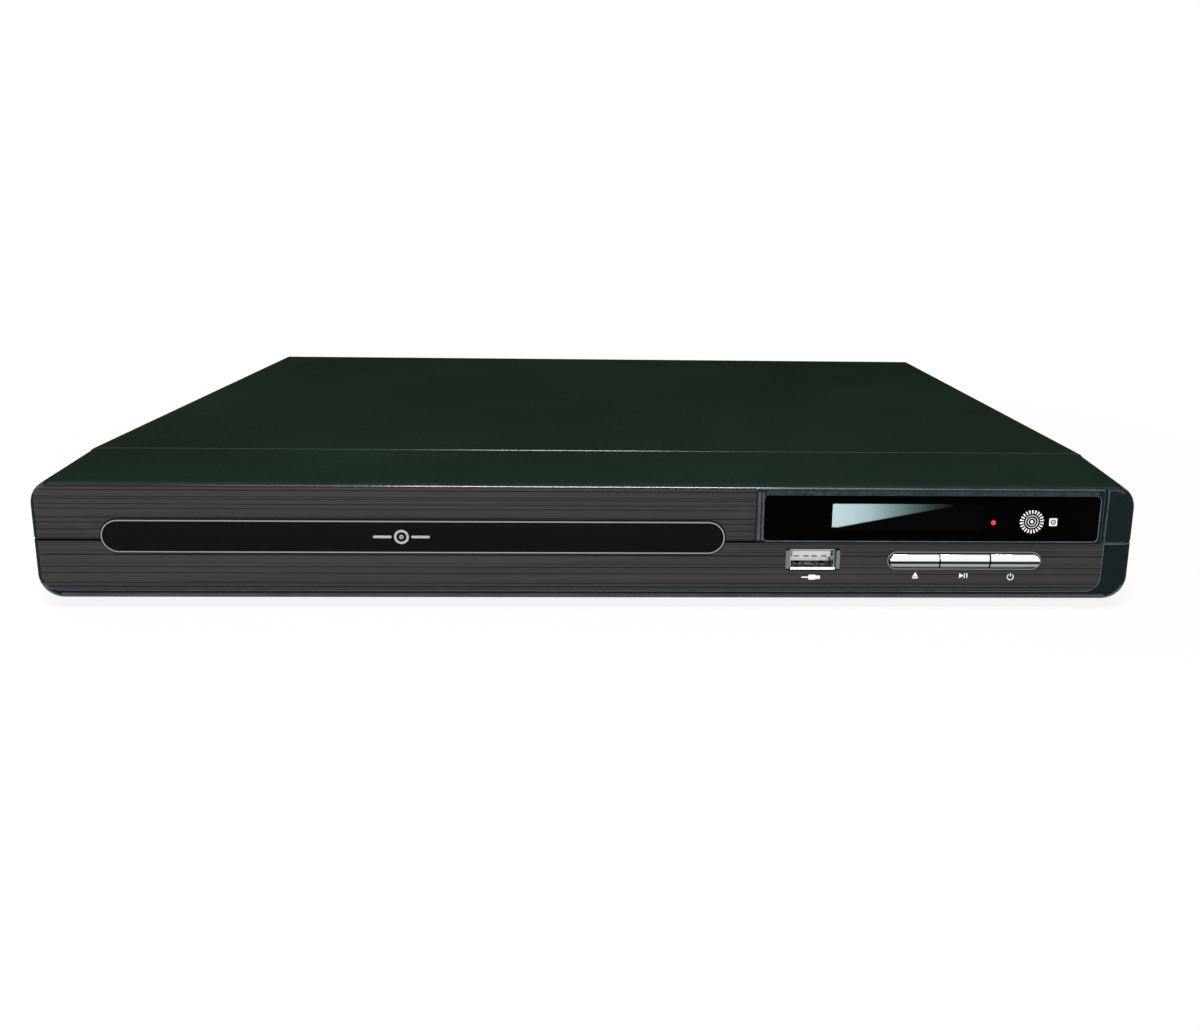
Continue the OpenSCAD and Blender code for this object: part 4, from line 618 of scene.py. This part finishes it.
# %% Front mouldings
LIP_DEPTH, SLIVER, LEFT_CHEEK = 3.6, 0.05, -155
PLAIN, EDGE_LIT, LIP, LIT_CHIN, ROOF, BROW = range(6)
for name in ("front_bezel_upper", "front_bezel_lower"):
    # the bevels of both mouldings take the painted highlights
    moulding = dress(name, bevel=0.15, sharp=50, segments=1, smooth=40, edges=edge_highlight_abs, clamp=False)
    for material in (polished_abs, chin_painted_light_abs, roof_abs, brow_abs):
        moulding.data.materials.append(material)
    # the bevel may lift a corner above the roof, and this lays it flat again
    if max(vert.co.z for vert in moulding.data.vertices) > TOP_Z:
        edit(moulding, "VERT", lambda vert: vert.co.z > TOP_Z)
        bpy.ops.transform.resize(value=(1, 1, 0), center_override=(0, 0, TOP_Z))
        pick(moulding)
    for face in moulding.data.polygons:
        at_lip = face.center.y < FACE_Y + LIP_DEPTH * MM
        slanted = at_lip and -0.98 < face.normal.y < -0.6 and face.area > SLIVER * MM * MM
        if slanted and face.normal.z > 0.4 and face.center.z > TOP_Z - 2 * MM:
            face.material_index = LIP
            face.use_smooth = False
        # the chin takes the tone painted lighter, as painted light from the floor
        elif slanted and face.normal.z < -0.2:
            face.material_index = LIT_CHIN
        elif at_lip and 0.8 < face.normal.z < 0.9 and face.material_index != EDGE_LIT:
            face.material_index = BROW
        elif face.normal.z > 0.3 and face.material_index != EDGE_LIT:
            face.material_index = ROOF
        # the left cheek's edges lie in shade and get no painted highlight
        elif face.center.x < LEFT_CHEEK * MM and face.material_index == EDGE_LIT:
            face.material_index = PLAIN
    used = [face.material_index for face in moulding.data.polygons]
    # in this count, rubbed means the bevels with painted highlights
    print("faces plain, rubbed, lip, chin, roof, brow:", [used.count(i) for i in range(6)])

# %% [markdown]
# The folded cover keeps its shape. Its front edge is rolled over by the press tool, and there
# the coat builds up and is glossier, so this edge shows as a thin line of light along the
# seam. It is cut to a slope in edit mode, found as the sharp edge between the front face of the
# sheet and its outside, and its faces stay flat so that each gives back one clear line. All
# other sharp edges then get a much smaller bevel.

# %% Cover
ROLLED_EDGE, COVER_BEVEL = 0.6, 0.15
cover = dress("top_cover")
cover.data.materials.append(edge_coat)
cover_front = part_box("top_cover")[0].y


def is_front_edge(edge):
    """True on the outer one of the two edges where the sheet's front face ends."""
    normals = [face.normal for face in edge.link_faces]
    middle = (edge.verts[0].co + edge.verts[1].co) / 2
    outward = Vector((math.copysign(1, middle.x), 0, 1))
    return (len(normals) == 2 and abs(middle.y - cover_front) < 0.05 * MM
        and min(n.y for n in normals) < -0.9 and max(n.dot(outward) for n in normals) > 0.5)


edit(cover, "EDGE", is_front_edge)
bpy.ops.mesh.bevel(offset=ROLLED_EDGE * MM, segments=1, affect="EDGES", material=1)
modify(cover, "BEVEL", width=COVER_BEVEL * MM, segments=1, limit_method="ANGLE", angle_limit=math.radians(60))
pick(cover)
bpy.ops.object.shade_smooth_by_angle(angle=math.radians(35))
rolled = [face for face in cover.data.polygons if face.material_index == 1]
for face in rolled:
    face.use_smooth = False
print("faces on the rolled edge:", len(rolled))

# %% [markdown]
# Plates, rings and buttons are dressed in the same way, each with a bevel that suits it: thin
# plates keep crisp edges, buttons are softer, and rubber feet are the roundest. The two plated
# rings get painted shade on their bevels.

# %% Plates, rings and buttons
for name, bevel in (
    ("fascia_upper", 0.15), ("fascia_lower", 0.15), ("display_lens", 0.12), ("door_panel", 0.1),
    ("tray_door", 0.08), ("eject_button", 0.18), ("play_button", 0.18), ("power_button", 0.18),
    ("feet", 0.4), ("foot_pads", 0.3), ("usb_shell", 0.08), ("usb_insulator", 0.1),
):
    dress(name, bevel=bevel)
for name in ("door_trim", "button_surround"):
    dress(name, bevel=0.09, segments=1, edges=plate_edge_shade)

# %% [markdown]
# ## Thin plates
# The face of the display, the prints and the trims round the socket are all thin upright
# plates with rounded corners. Each starts as a box at its real size and place, and the edges
# that run straight back, found by their direction, are then bevelled. A print is made 0.04 mm
# thick, about twice the thickness of real ink, so that it stands clear of what carries it.

# %% Helper for thin plates
INK = 0.04


def runs_back(edge):
    """True for an edge that runs along Y, from front to back."""
    return abs((edge.verts[0].co - edge.verts[1].co).normalized().y) > 0.9


def thin_plate(x, z, width, height, y, radius=0.1, turn=0.0, thick=INK, segments=3):
    """A thin upright plate at x and z in mm, turned about its middle, with rounded corners."""
    pick()
    bpy.ops.mesh.primitive_cube_add(
        size=1, location=(x * MM, y - thick / 2 * MM, z * MM),
        rotation=(0, turn, 0), scale=(width * MM, thick * MM, height * MM),
    )
    piece = bpy.context.object
    bpy.ops.object.transform_apply(location=True, rotation=True, scale=True)
    if radius:
        edit(piece, "EDGE", runs_back)
        bpy.ops.mesh.bevel(offset=radius * MM, segments=segments, affect="EDGES")
        pick(piece)
    return piece


# %% [markdown]
# ## The display behind the window
# The display is a slim glass panel that shows through the smoked window as a rectangle. Its
# unlit face is grey glass with a painted reflection: a slanting pale glare that is widest at the
# left and runs out to a tip at the right. The painted glare could be a picture, but it is only a
# slanting edge and a fade, so its material mixes it from the place across and up the panel.

# %% Glass of the display, with a painted glare
DISPLAY_LEFT, DISPLAY_RIGHT = 68.9, 112.7
DISPLAY_TOP, DISPLAY_BOTTOM = 32.6, 24.7

display_painted_glare, tree, shader = new_material("display_painted_glare", Roughness=0.2)
shader.inputs["Specular IOR Level"].default_value = 0.02
spot = add_node(tree, "ShaderNodeTexCoord").outputs["Object"]
parts = add_node(tree, "ShaderNodeSeparateXYZ", {0: spot})
across = add_node(tree, "ShaderNodeMapRange", {
    "Value": parts.outputs["X"], "From Min": DISPLAY_LEFT * MM, "From Max": DISPLAY_RIGHT * MM,
})
depth = add_node(tree, "ShaderNodeMapRange", {
    "Value": parts.outputs["Z"], "From Min": DISPLAY_TOP * MM, "From Max": DISPLAY_BOTTOM * MM,
})
# the lower edge of the painted glare falls in a straight line from the lower left to the upper right
edge_height = add_node(tree, "ShaderNodeMapRange", {
    "Value": across.outputs[0], "From Min": 0.04, "From Max": 0.8, "To Min": 0.89, "To Max": 0.07,
})
inside = add_node(tree, "ShaderNodeMath", {
    0: edge_height.outputs[0], 1: depth.outputs[0],
}, operation="SUBTRACT")
mask = add_node(tree, "ShaderNodeMapRange", {
    "Value": inside.outputs[0], "From Min": -0.01, "From Max": 0.03,
})
fade = add_node(tree, "ShaderNodeValToRGB", {0: across.outputs[0]})
for stop, hex_colour in (
    (0.12, "#a8bcc3"), (0.25, "#94aab0"), (0.38, "#71868a"), (0.52, "#495c5f"), (0.65, "#283534"),
):
    fade.color_ramp.elements.new(stop).color = linear(hex_colour)
fade.color_ramp.elements[0].color = linear("#b0c5ca")
fade.color_ramp.elements[-1].position = 0.8
fade.color_ramp.elements[-1].color = linear("#020202")
# the painted glare is mixed onto the dark glass
painted_glare = add_node(tree, "ShaderNodeMix", {
    0: mask.outputs[0], 6: linear("#020202"), 7: fade.outputs[0],
}, data_type="RGBA")
tree.links.new(painted_glare.outputs[2], shader.inputs["Base Color"])

# %% [markdown]
# The panel itself is a thin plate on the front of the window, a little thicker than a print and
# with rounder corners. Behind smoked acrylic it would need real glass to be seen, so it lies on
# it, where it looks the same.

# %% Face of the display
display = thin_plate(
    (DISPLAY_LEFT + DISPLAY_RIGHT) / 2, (DISPLAY_TOP + DISPLAY_BOTTOM) / 2,
    DISPLAY_RIGHT - DISPLAY_LEFT, DISPLAY_TOP - DISPLAY_BOTTOM, LENS_Y,
    radius=0.35, thick=0.06, segments=4,
)
place(display, "display_face", "case", "display_body", display_painted_glare)

# %% [markdown]
# ## Printed signs
# Prints are thin plates that lie on the surface that carries them, so their front faces stand a
# few hundredths proud. A ring starts as a circle that is extruded inwards and given its
# thickness last, and a triangle is a prism of three sides.

# %% Helpers for rings and triangles
def printed_ring(x, z, outer, inner, y, vertices, gap=0.0):
    """A thin flat ring, or a disc if it has no inner radius; gap opens it at the top."""
    pick()
    centre = (x * MM, y - INK * MM, z * MM)
    bpy.ops.mesh.primitive_circle_add(
        vertices=vertices, radius=outer * MM, location=centre, rotation=(math.pi / 2, 0, 0),
        fill_type="NOTHING" if inner else "NGON",
    )
    piece = bpy.context.object
    bpy.ops.object.transform_apply(location=True, rotation=True, scale=True)
    if inner:
        edit(piece, "EDGE", lambda edge: True)
        bpy.ops.mesh.extrude_edges_move()
        bpy.ops.transform.resize(value=(inner / outer,) * 3, center_override=centre)
        if gap:
            edit(piece, "FACE", lambda face: face.calc_center_median().z > z * MM
                and abs(face.calc_center_median().x - x * MM) < gap / 2 * MM)
            bpy.ops.mesh.delete(type="FACE")
    pick(piece)
    modify(piece, "SOLIDIFY", thickness=INK * MM, offset=-1)
    edit(piece, "FACE", lambda face: True)
    bpy.ops.mesh.normals_make_consistent(inside=False)
    pick(piece)
    return piece


def printed_triangle(x, z, size, y, turn=0.0):
    """A thin triangle that points up, turned about its middle."""
    pick()
    bpy.ops.mesh.primitive_cylinder_add(
        vertices=3, radius=size * MM, depth=INK * MM, location=(x * MM, y - INK / 2 * MM, z * MM),
        rotation=(math.pi / 2, 0, 0),
    )
    piece = bpy.context.object
    bpy.ops.object.transform_apply(location=True, rotation=True, scale=True)
    edit(piece, "FACE", lambda face: True)
    bpy.ops.transform.rotate(value=turn, orient_axis="Y", center_override=(x * MM, y, z * MM))
    pick(piece)
    return piece


def joined(pieces):
    """One piece out of several."""
    pick(*pieces)
    bpy.ops.object.join()
    return bpy.context.object


# %% [markdown]
# In the window, a sunburst marks the receiver for the remote control: a dot, two rings, and 22
# rays that widen outwards. The rings stand 0.7 mm apart, the closest that still shows as lines
# at this distance. One ray is modelled: a bar whose upper end is made twice as wide and then
# rounded. It is copied and turned about the middle of the dot, each copy with its own mesh.

# %% Sunburst on the window
SUN_X, SUN_Z, RAYS = 127.0, 27.45, 22
RAY_Z, RAY_WIDTH, RAY_LENGTH = SUN_Z + 2.95, 0.24, 1.14
rings = [printed_ring(SUN_X, SUN_Z, outer, inner, LENS_Y, vertices=48)
    for outer, inner in ((0.45, 0), (1.17, 1.01), (1.88, 1.73))]
ray = thin_plate(SUN_X, RAY_Z, RAY_WIDTH, RAY_LENGTH, LENS_Y, radius=0)
edit(ray, "VERT", lambda vert: vert.co.z > RAY_Z * MM)
bpy.ops.transform.resize(value=(2.0, 1, 1), center_override=(SUN_X * MM, LENS_Y, SUN_Z * MM))
edit(ray, "EDGE", lambda edge: runs_back(edge) and edge.verts[0].co.z > RAY_Z * MM)
bpy.ops.mesh.bevel(offset=0.18 * MM, segments=3, affect="EDGES")
pick(ray)
rays = [ray]
sun_centre = Matrix.Translation((SUN_X * MM, 0, SUN_Z * MM))
for i in range(1, RAYS):
    pick(ray)
    bpy.ops.object.duplicate(linked=False)
    copy = bpy.context.object
    turn = Matrix.Rotation(2 * math.pi * i / RAYS, 4, "Y")
    copy.data.transform(sun_centre @ turn @ sun_centre.inverted())
    rays.append(copy)
sunburst = joined(rings + rays)
place(sunburst, "remote_sunburst", "case", "smoked_acrylic", white_ink)

# %% [markdown]
# Beside it stands a small white field with a dark ring and dot, a plain sign for the receiver.
# The dark print lies on the white one, so it starts one thickness of ink further forward.

# %% Receiver sign
SIGN_X, SIGN_Z = 133.25, 27.35
field = thin_plate(SIGN_X, SIGN_Z, 2.3, 2.3, LENS_Y, radius=0.25)
place(field, "receiver_sign_field", "case", "smoked_acrylic", white_ink)
sign_parts = [
    printed_ring(SIGN_X, SIGN_Z, 0.8, 0.5, LENS_Y - INK * MM, vertices=24),
    printed_ring(SIGN_X, SIGN_Z, 0.22, 0, LENS_Y - INK * MM, vertices=16),
]
place(joined(sign_parts), "receiver_sign_ring", "case", "smoked_acrylic", dark_ink_and_shade)

# %% [markdown]
# Left of the sunburst is the red lamp: the tip of its light guide, a low dome that fills a hole
# in the window. It is a ball pressed to a quarter of its depth, whose back half is cut away and
# closed.

# %% Lamp
LAMP_X, LAMP_Z, LAMP_R = 115.8, 27.1, 0.72
pick()
bpy.ops.mesh.primitive_uv_sphere_add(segments=24, ring_count=12, radius=LAMP_R * MM,
    location=(LAMP_X * MM, LENS_Y, LAMP_Z * MM), rotation=(math.pi / 2, 0, 0), scale=(1, 1, 0.25))
lamp = bpy.context.object
bpy.ops.object.transform_apply(location=True, rotation=True, scale=True)
edit(lamp, "VERT", lambda vert: True)
bpy.ops.mesh.bisect(
    plane_co=(0, LENS_Y + 0.05 * MM, 0), plane_no=(0, 1, 0), clear_outer=True, use_fill=True,
)
pick(lamp)
place(lamp, "lamp_dome", "case", "red_lamp", red_epoxy)

# %% [markdown]
# Below the buttons their signs are printed on the foil: eject, play and pause, and standby.
# Under the front socket stands a plain plug: its body, its metal end and its cable. All are one
# piece, because one pass of the screen prints them.

# %% Signs on the fascia
SOCKET_X, PLUG_Z = 63.9, 10.35
EJECT_X, PLAY_Z, STANDBY_X = 94.1, 10.9, 122.2
plug = [
    thin_plate(SOCKET_X, PLUG_Z, 2.1, 1.5, FACE_Y, radius=0.25),
    thin_plate(65.55, PLUG_Z, 1.3, 1.0, FACE_Y, radius=0.05),
    thin_plate(61.85, PLUG_Z, 2.0, 0.34, FACE_Y, radius=0.08),
]
eject = [
    printed_triangle(EJECT_X, 11.05, 0.95, FACE_Y),
    thin_plate(EJECT_X, 10.2, 1.64, 0.3, FACE_Y, radius=0),
]
play = [
    printed_triangle(107.5, PLAY_Z, 0.85, FACE_Y, turn=-math.pi / 2),
    thin_plate(108.6, PLAY_Z, 0.27, 1.5, FACE_Y, radius=0),
    thin_plate(109.32, PLAY_Z, 0.27, 1.5, FACE_Y, radius=0),
]
standby = [
    printed_ring(STANDBY_X, 10.55, 1.0, 0.78, FACE_Y, vertices=32, gap=1.1),
    thin_plate(STANDBY_X, 11.2, 0.24, 1.0, FACE_Y, radius=0),
]
signs = joined(plug + eject + play + standby)
place(signs, "fascia_signs", "case", "hairline_fascia", white_ink)

# %% [markdown]
# On the door a plain mark takes the place of a badge: a disc, drawn as two rings, between two
# dashes, in silver ink. It rides with the drawer.

# %% Mark on the door
door_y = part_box("door_panel")[0].y
MARK_X, MARK_Z = -54.0, 22.3
mark = [
    printed_ring(MARK_X, MARK_Z, 2.1, 1.45, door_y, vertices=48),
    printed_ring(MARK_X, MARK_Z, 0.6, 0.25, door_y, vertices=32),
    thin_plate(MARK_X - 5.4, MARK_Z, 5.2, 0.75, door_y, radius=0.3),
    thin_plate(MARK_X + 5.4, MARK_Z, 5.2, 0.75, door_y, radius=0.3),
]
place(joined(mark), "door_mark", "drawer", "satin_plating", silver_ink)

# %% [markdown]
# ## Small parts of the front
# The shell of the front socket ends in a rolled lip that slants up from the edge of its
# opening, with a narrow wing at each side. The lip is a box that stands 0.3 mm in front of the
# face, and its upper front edge is cut back to a slope that mirrors the sky.

# %% Lip and wings of the socket
LIP_SLOPE, WING_OFF = 0.46, 7.35
socket_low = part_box("usb_shell")[0]
pick()
bpy.ops.mesh.primitive_cube_add(
    size=1, location=(SOCKET_X * MM, FACE_Y + 0.275 * MM, socket_low.z + 0.15 * MM),
    scale=(12.9 * MM, 1.15 * MM, 0.5 * MM),
)
lip = bpy.context.object
bpy.ops.object.transform_apply(location=True, rotation=True, scale=True)
lip_front, lip_top, near = FACE_Y - 0.3 * MM, socket_low.z + 0.4 * MM, 0.01 * MM
edit(lip, "EDGE", lambda edge: all(
    vert.co.y < lip_front + near and vert.co.z > lip_top - near for vert in edge.verts))
bpy.ops.mesh.bevel(offset=LIP_SLOPE * MM, segments=1, affect="EDGES")
place(lip, "socket_lip", "case", slot_of["usb_shell"], rolled_nickel)
wings = [thin_plate(SOCKET_X + x, 15.7, 1.1, 5.6, FACE_Y, radius=0.2) for x in (-WING_OFF, WING_OFF)]
place(joined(wings), "socket_wings", "case", slot_of["usb_shell"], ring_plate)

# %% [markdown]
# Inside the socket, the four contacts of the tongue end in small recesses on its front, drawn as
# dark strips of painted shade. Below them a bright tab leans back from the floor of the shell, as
# a plate that is turned about its foot.

# %% Notches and tab in the socket
TAB_DEPTH, TAB_LEAN = 5.3, -10
tongue_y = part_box("usb_insulator")[0].y
notch_shades = [
    thin_plate(SOCKET_X + x, 16.05, 1.7, 0.3, tongue_y, radius=0.1) for x in (-4.5, -1.6, 0.8, 3.6)
]
place(joined(notch_shades), "socket_notch_shades", "case", slot_of["usb_insulator"], dark_ink_and_shade)
shell_floor = socket_low.z / MM + 0.3
tab = thin_plate(SOCKET_X, shell_floor + 0.87, 11.9, 1.3, FACE_Y + TAB_DEPTH * MM, radius=0.2)
tab_foot = Matrix.Translation((0, FACE_Y + TAB_DEPTH * MM, shell_floor * MM))
tab.data.transform(tab_foot @ Matrix.Rotation(math.radians(TAB_LEAN), 4, "X") @ tab_foot.inverted())
place(tab, "socket_tab", "case", slot_of["usb_shell"], ground_steel)

# %% [markdown]
# In front of the tab, slanting cuts in the floor of the shell free the springs that grip a
# plug. Nothing shows through cuts as fine as these, so they are drawn as dark strips of painted
# shade on the floor instead of being cut. They are made upright, as prints are, then laid down
# and pushed in.

# %% Slits in the floor of the socket
SLIT_DEPTH = 3.1
slit_shades = joined([thin_plate(SOCKET_X + x, shell_floor, 0.6, 3.4, FACE_Y, radius=0.1, turn=turn)
    for x, turn in ((-5.0, -0.35), (-4.0, 0.25), (-2.1, 0.0), (1.5, -0.4), (2.7, 0.3), (4.6, -0.1))])
slit_middle = Matrix.Translation((0, FACE_Y, shell_floor * MM))
lay_down = slit_middle @ Matrix.Rotation(-math.pi / 2, 4, "X") @ slit_middle.inverted()
slit_shades.data.transform(Matrix.Translation((0, SLIT_DEPTH * MM, 0)) @ lay_down)
place(slit_shades, "socket_slit_shades", "case", slot_of["usb_shell"], dark_ink_and_shade)

# %% [markdown]
# A black strip of painted shade fills the joint between the two mouldings. It runs from the left
# end of the fascia to the door, and from the door to the window frame, so its ends are read from
# those nodes. It is flush with the fascia plates but for the thickness of a print.

# %% Painted shade in the joint
JOINT_SHADE_Z, JOINT_SHADE_HEIGHT = 21.08, 0.62
plate_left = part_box("fascia_lower")[0].x
door_low, door_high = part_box("door_trim")
window_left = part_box("display_lens")[0].x
joint_shades = []
for start, end in (
    (plate_left + 0.3 * MM, door_low.x + 0.5 * MM), (door_high.x - 0.5 * MM, window_left - 1.2 * MM),
):
    middle, length = (start + end) / 2 / MM, (end - start) / MM
    joint_shades.append(thin_plate(middle, JOINT_SHADE_Z, length, JOINT_SHADE_HEIGHT, FACE_Y, radius=0.15))
place(joined(joint_shades), "joint_painted_shade", "case", slot_of["front_bezel_lower"], joint_shade_black)

# %% [markdown]
# The frame round the window gets painted highlights along its edges: a speckled band above the
# window, and two lighter lines down its left margin. They are as thin as the prints.

# %% Painted highlights on the window frame
MARGIN_Z, MARGIN_HEIGHT = 28.9, 14.4
frame_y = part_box("front_bezel_upper")[0].y
band = thin_plate(97.8, 35.83, 96.2, 1.3, frame_y, radius=0.3)
place(band, "frame_band_highlight", "case", slot_of["front_bezel_upper"], frame_highlight_abs)
margins = [
    thin_plate(x, MARGIN_Z, width, MARGIN_HEIGHT, frame_y, radius=0.2)
    for x, width in ((47.75, 0.9), (48.87, 0.6))
]
place(joined(margins), "frame_margin_highlights", "case", slot_of["front_bezel_upper"], margin_highlight_abs)

# %% [markdown]
# ## Stage and light
# The player stands on a pale paper floor in front of a white sky. More lamps would wash out the
# player, so floor and sky glow white only for rays that come from the camera, from a mirror or
# through glass. As light on the player, the floor is plain paper and the sky is weak.

# %% Helper for what only shows
def shows(tree):
    """An output that is 1 for rays from the camera, from gloss or through glass, and 0 for light."""
    ray_kinds = add_node(tree, "ShaderNodeLightPath").outputs
    seen = ray_kinds["Is Camera Ray"]
    for kind in ("Is Glossy Ray", "Is Transmission Ray"):
        either = add_node(tree, "ShaderNodeMath", {0: seen, 1: ray_kinds[kind]}, operation="MAXIMUM")
        seen = either.outputs[0]
    return seen


# %% [markdown]
# The paper runs out to pure white. Close to the player it glows a little less and is mixed with
# plain paper, so that the player's shadow shows on it.

# %% Paper of the floor
SHADE_END, WHITE_START = 0.2, 0.35
paper, tree, shader = new_material("studio_paper", Roughness=0.9)
shader.inputs["Base Color"].default_value = linear("#f1f1ef")
spot = add_node(tree, "ShaderNodeTexCoord").outputs["Object"]
away = add_node(tree, "ShaderNodeVectorMath", {0: spot}, operation="LENGTH")
white = add_node(tree, "ShaderNodeMapRange", {
    "Value": away.outputs["Value"], "From Min": SHADE_END, "From Max": WHITE_START, "To Min": 0.88,
})
share = add_node(tree, "ShaderNodeMath", {0: shows(tree), 1: white.outputs[0]}, operation="MULTIPLY")
glow = add_node(tree, "ShaderNodeEmission", {"Color": (1, 1, 1, 1), "Strength": 1.0})
paper_mix = add_node(tree, "ShaderNodeMixShader", {
    0: share.outputs[0], 1: shader.outputs[0], 2: glow.outputs[0],
})
# the paper has no underside, so the feet and the floor of the chassis can be seen from below
from_below = add_node(tree, "ShaderNodeNewGeometry").outputs["Backfacing"]
nothing = add_node(tree, "ShaderNodeBsdfTransparent")
one_sided = add_node(tree, "ShaderNodeMixShader", {
    0: from_below, 1: paper_mix.outputs[0], 2: nothing.outputs[0],
})
tree.links.new(one_sided.outputs[0], tree.nodes["Material Output"].inputs["Surface"])

# %% [markdown]
# The floor is one large sheet under the feet.

# %% Floor
FLOOR_SIZE = 12
pick()
bpy.ops.mesh.primitive_plane_add(size=FLOOR_SIZE, location=(0, 0, 0))
floor = bpy.context.object
floor.name = "studio_floor"
floor.data.materials.append(paper)
print("floor of", FLOOR_SIZE, "m")

# %% [markdown]
# The sky is white wherever it is seen or mirrored, and lights the player only weakly.

# %% Sky
SKY_LIGHT = 0.16
world = bpy.data.worlds.new("studio_sky")
bpy.context.scene.world = world
world.use_nodes = True
tree = world.node_tree
tree.nodes.clear()
strength = add_node(tree, "ShaderNodeMapRange", {
    "Value": shows(tree), "To Min": SKY_LIGHT, "To Max": 1.0,
})
sky = add_node(tree, "ShaderNodeBackground", {"Color": (1, 1, 1, 1), "Strength": strength.outputs[0]})
add_node(tree, "ShaderNodeOutputWorld", {"Surface": sky.outputs[0]})
print("light of the sky:", SKY_LIGHT)

# %% [markdown]
# Two strip lamps above the front, a short strong one and a long weak one, give the lip its line
# of light, and a square one overhead lights the seam. Two more stand close to the camera and at
# the left. Together with the sky they are at a level where a colour shows about as it is
# written. Places and sizes are in metres, as studio lamps are set up.

# %% Lamps
def soft_lamp(name, where, aim, width, height, watts):
    """A level area lamp of that width and height that looks at a point."""
    data = bpy.data.lights.new(name, "AREA")
    data.shape = "RECTANGLE"
    data.size, data.size_y, data.energy = width, height, watts
    lamp = bpy.data.objects.new(name, data)
    bpy.context.scene.collection.objects.link(lamp)
    lamp.location = where
    lamp.rotation_euler = (Vector(aim) - Vector(where)).to_track_quat("-Z", "Y").to_euler()
    print(name, "of", watts, "W")


soft_lamp("camera_softbox", (-0.16, -1.05, 0.3), (0, 0, 0.02), 0.4, 0.4, 3.0)
soft_lamp("lip_strip", (-0.035, -0.64, 0.95), (-0.035, 0, 0.02), 0.52, 0.06, 5.6)
soft_lamp("wide_strip", (-0.06, -0.645, 0.94), (-0.06, 0, 0.02), 0.96, 0.06, 1.7)
soft_lamp("seam_softbox", (-0.06, -0.39, 1.1), (-0.06, 0.1, 0.03), 0.28, 0.16, 4.6)
soft_lamp("side_softbox", (-0.5, 0.3, 0.4), (0, 0.05, 0.03), 0.4, 0.3, 0.7)
